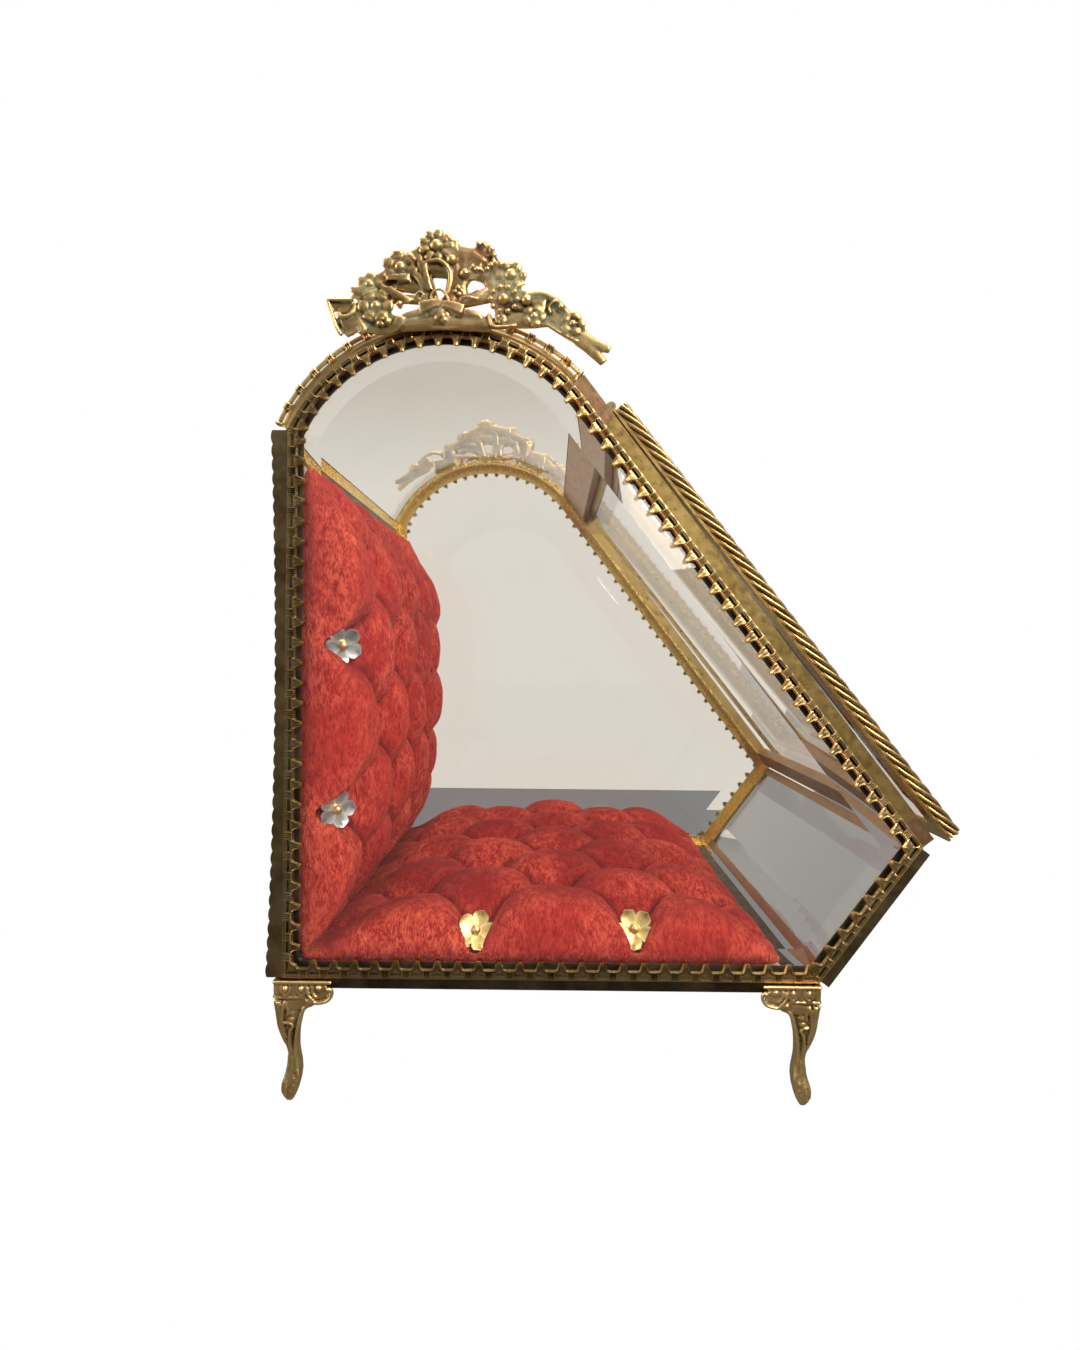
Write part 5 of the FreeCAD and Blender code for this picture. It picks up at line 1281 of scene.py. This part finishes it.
def meltCasting(name, bm, look, finish, node):
    piece = newPiece(name, bm, finish, "case", [node], 180.0)
    melt = piece.modifiers.new("melt", "REMESH")
    melt.mode = "VOXEL"
    melt.voxel_size = look["voxel"] * mm
    melt.use_smooth_shade = True
    soften = piece.modifiers.new("soften", "SMOOTH")
    soften.factor = look["smoothing"]
    soften.iterations = casting["softenings"]
    mesh = bakedMesh(piece)
    mesh.materials.clear()
    mesh.materials.append(materials[finish])
    markHollows(piece, passes=3, gain=look["relief"])


makeCrest("nearFlowerCrest", -1, "near_crest", True)
makeCrest("farFlowerCrest", 1, "far_crest", False)
print("casket: crests modelled")

# cabriole legs: a bracket with egg ornament and scroll, a leafed knee, a channelled shin and a pad foot
leg = {
    "top": 36.9, "voxel": 0.32, "smoothing": 0.25, "relief": 1.3, "squareness": 0.55, "eggs": (3.7, 8.4),
    # rings down the shin: drop, near corner, far corner
    "rings": (
        (5, 0.4, 9.4), (7.5, 0.5, 9), (10, 0.7, 8.2), (12.8, 1, 7.4), (16, 1.6, 6.8), (19, 2.4, 6.6),
        (21.5, 3, 6.6), (23.5, 3.3, 6.8), (26, 3.1, 7.2), (28.5, 2.7, 7.4), (31, 2, 7.2), (33.5, 1.9, 6.6),
        (35.4, 2.3, 5.9), (36.9, 3.2, 5),
    ),
    # stems of the bracket's wing: run, drop and rise of their points, width, thickness and end shares
    "wingStems": (
        (((0.6, 2.9, -0.9), (9, 2.9, -0.9), (15.6, 2.9, -0.9)), 5.6, 1.9),
        (((8.6, 5.2, -0.9), (12, 4.8, -0.9), (16, 3.6, -0.9)), 4.4, 1.9),
        (((3.6, 7.4, -0.9), (7.6, 6.6, -0.9), (11.6, 5.6, -0.9)), 4.6, 1.8, (1, 0.8)),
        (((0.1, 0.55, -0.1), (8, 0.55, -0.1), (17.2, 0.55, -0.1)), 1, 0.9),
        (((0.4, 5, -0.1), (4.5, 5, -0.1), (9.6, 4.9, -0.1)), 0.7, 0.8),
        (((1.3, 1.3, -0.1), (1.3, 4.2, -0.1)), 0.75, 0.7, (1, 0.5)),
        (((6.05, 1.3, -0.1), (6.05, 4.2, -0.1)), 0.75, 0.7, (1, 0.5)),
        (((10.3, 2, 0), (10.6, 4.2, 0.3), (12.2, 5.8, 0.3)), 0.8, 0.9),
        (((11.4, 1.6, 0), (11.7, 3.6, 0.2), (13, 5, 0.2)), 0.6, 0.7),
        (((9.8, 5.6, 0.1), (13, 6.4, 0.2), (16.2, 5.6, 0.3), (17.5, 3.6, 0.3), (17, 1.9, 0.3)), 1, 1.2),
        (((11.6, 7, -0.4), (9.6, 7.8, -0.3), (8.5, 9.6, -0.2), (7.7, 12.8, -0.1)), 1.2, 1.3),
        (((9.6, 6.7, 0), (11, 6.6, 0.1), (12.6, 6.8, 0)), 0.6, 0.7),
    ),
    # lumps: run, drop, rise and half sizes
    "wingLumps": (
        (13.5, 2.2, 0, (0.85, 0.9, 0.75)), (16.5, 2.4, 0.35, (0.85, 0.85, 0.85)),
    ),
    # relief of the knee, shin and foot seen along one wing
    "kneeStems": (
        (((1.4, 6.2, -0.2), (1.9, 10, -0.6), (2.3, 15, -1.3), (3.4, 20, -2.8)), 1.1, 0.9, (1.2, 0.6)),
        (((3.5, 6.4, -0.2), (2.7, 9.6, -0.4), (2.6, 13, -0.8), (3.4, 17.5, -1.8)), 0.9, 0.9, (1.3, 0.5)),
        (((3.9, 7.2, -0.2), (4.4, 8.6, -0.2), (4.2, 10.4, -0.3)), 0.7, 0.8),
        (((3.4, 12.8, -0.8), (4.8, 12.9, -0.8), (5.6, 13.9, -1), (4.6, 16, -1.4), (4.3, 19.6, -2.4),
         (4.6, 23, -3.7)), 0.9, 0.9, (0.8, 0.8)),
        (((8.2, 9.6, -0.5), (7.2, 13.4, -1), (6.3, 17.8, -1.9), (5.9, 22, -3.1), (6.1, 25.4, -3.3),
         (6.9, 29.4, -2.8)), 0.9, 1),
        (((4.9, 24, -3.4), (5, 26.4, -3.2), (4.5, 29, -2.9), (3.6, 32.4, -2), (3.4, 35, -2.1)), 0.7, 0.9),
    ),
    "kneeLumps": (
        (5.4, 9.6, -0.8, (1.25, 0.95, 0.8)), (5.2, 11.7, -1.1, (1.05, 0.75, 0.7)),
        (6.2, 28, -3, (0.45, 0.45, 0.45)), (5.6, 30.2, -2.7, (0.6, 0.6, 0.6)), (5.7, 32, -2.3, (0.5, 0.5, 0.5)),
        (4.9, 33.6, -2.3, (0.6, 0.6, 0.6)),
    ),
    # node, corner across and along the depth, and the signs of its two wings
    "corners": (
        ("near_back_leg", -2, -85.2, 1, 1), ("near_front_leg", 158.956, -85.2, -1, 1),
        ("far_front_leg", 158.956, 85.2, -1, -1), ("far_back_leg", -2, 85.2, 1, -1),
    ),
}


def addShin(bm):
    loops = []
    for drop, low, high in leg["rings"]:
        ring = bmesh.ops.create_circle(bm, cap_ends=False, segments=16, radius=1.0)["verts"]
        half, middle = (high - low) / 2, (high + low) / 2
        for vert in ring:
            angle = math.atan2(vert.co.y, vert.co.x)
            square = 1 / max(abs(math.cos(angle)), abs(math.sin(angle))) ** leg["squareness"]
            vert.co = (middle + math.cos(angle) * half * square, middle + math.sin(angle) * half * square, -drop)
        loops.append([edge for edge in bm.edges if edge.verts[0] in ring and edge.verts[1] in ring])
    for first, second in zip(loops, loops[1:]):
        bmesh.ops.bridge_loops(bm, edges=first + second)
    bmesh.ops.holes_fill(bm, edges=loops[0])
    bmesh.ops.holes_fill(bm, edges=loops[-1])


# adds stems and lumps of a leg's relief: run along the wing, drop, and rise out of its face
def addRelief(bm, stems, lumps):
    for points, wide, flat, *taper in stems:
        addStem(bm, [(run, -drop, rise) for run, drop, rise in points], wide, flat, *taper)
    for run, drop, rise, scale in lumps:
        addLump(bm, (run, -drop, rise), scale)


# one egg of the bracket's row: the rim that hangs round it
def eggRim(run):
    rim = ((-1.25, 1.2, -0.05), (-1.3, 2.9, 0.05), (0.0, 4.3, 0.1), (1.3, 2.9, 0.05), (1.25, 1.2, -0.05))
    return [(run + across, drop, rise) for across, drop, rise in rim], 0.55, 0.7


def makeLegs():
    wing = bmesh.new()
    addRelief(wing, leg["wingStems"], leg["wingLumps"])
    eggs = [(run, 2.5, -0.05, (0.75, 1.05, 0.75)) for run in leg["eggs"]]
    addRelief(wing, [eggRim(run) for run in leg["eggs"]], eggs)
    addRelief(wing, leg["kneeStems"], leg["kneeLumps"])
    relief = toMesh("legRelief", wing)
    # run, drop and rise become the two wings' own directions
    along = Matrix(((1, 0, 0, 0), (0, 0, -1, 0), (0, 1, 0, 0), (0, 0, 0, 1)))
    aside = Matrix(((0, 0, -1, 0), (1, 0, 0, 0), (0, 1, 0, 0), (0, 0, 0, 1)))
    for node, across, depth, turnX, turnY in leg["corners"]:
        bm = bmesh.new()
        addShin(bm)
        for matrix in (along, aside):
            addCopy(bm, relief, matrix)
        corner = caseSpot(across, depth, 0)
        corner.z = leg["top"] * mm
        place = Matrix.Translation(corner) @ Matrix.Diagonal((turnX * mm, turnY * mm, mm, 1))
        bmesh.ops.transform(bm, verts=bm.verts[:], matrix=place)
        faceOut(bm)
        for vert in bm.verts:
            vert.co.z = max(0.0, vert.co.z)
        words = node.split("_")
        meltCasting(words[0] + words[1].title() + "CastLeg", bm, leg, "leg", node)
    bpy.data.meshes.remove(relief)


makeLegs()
print("casket: legs cast")
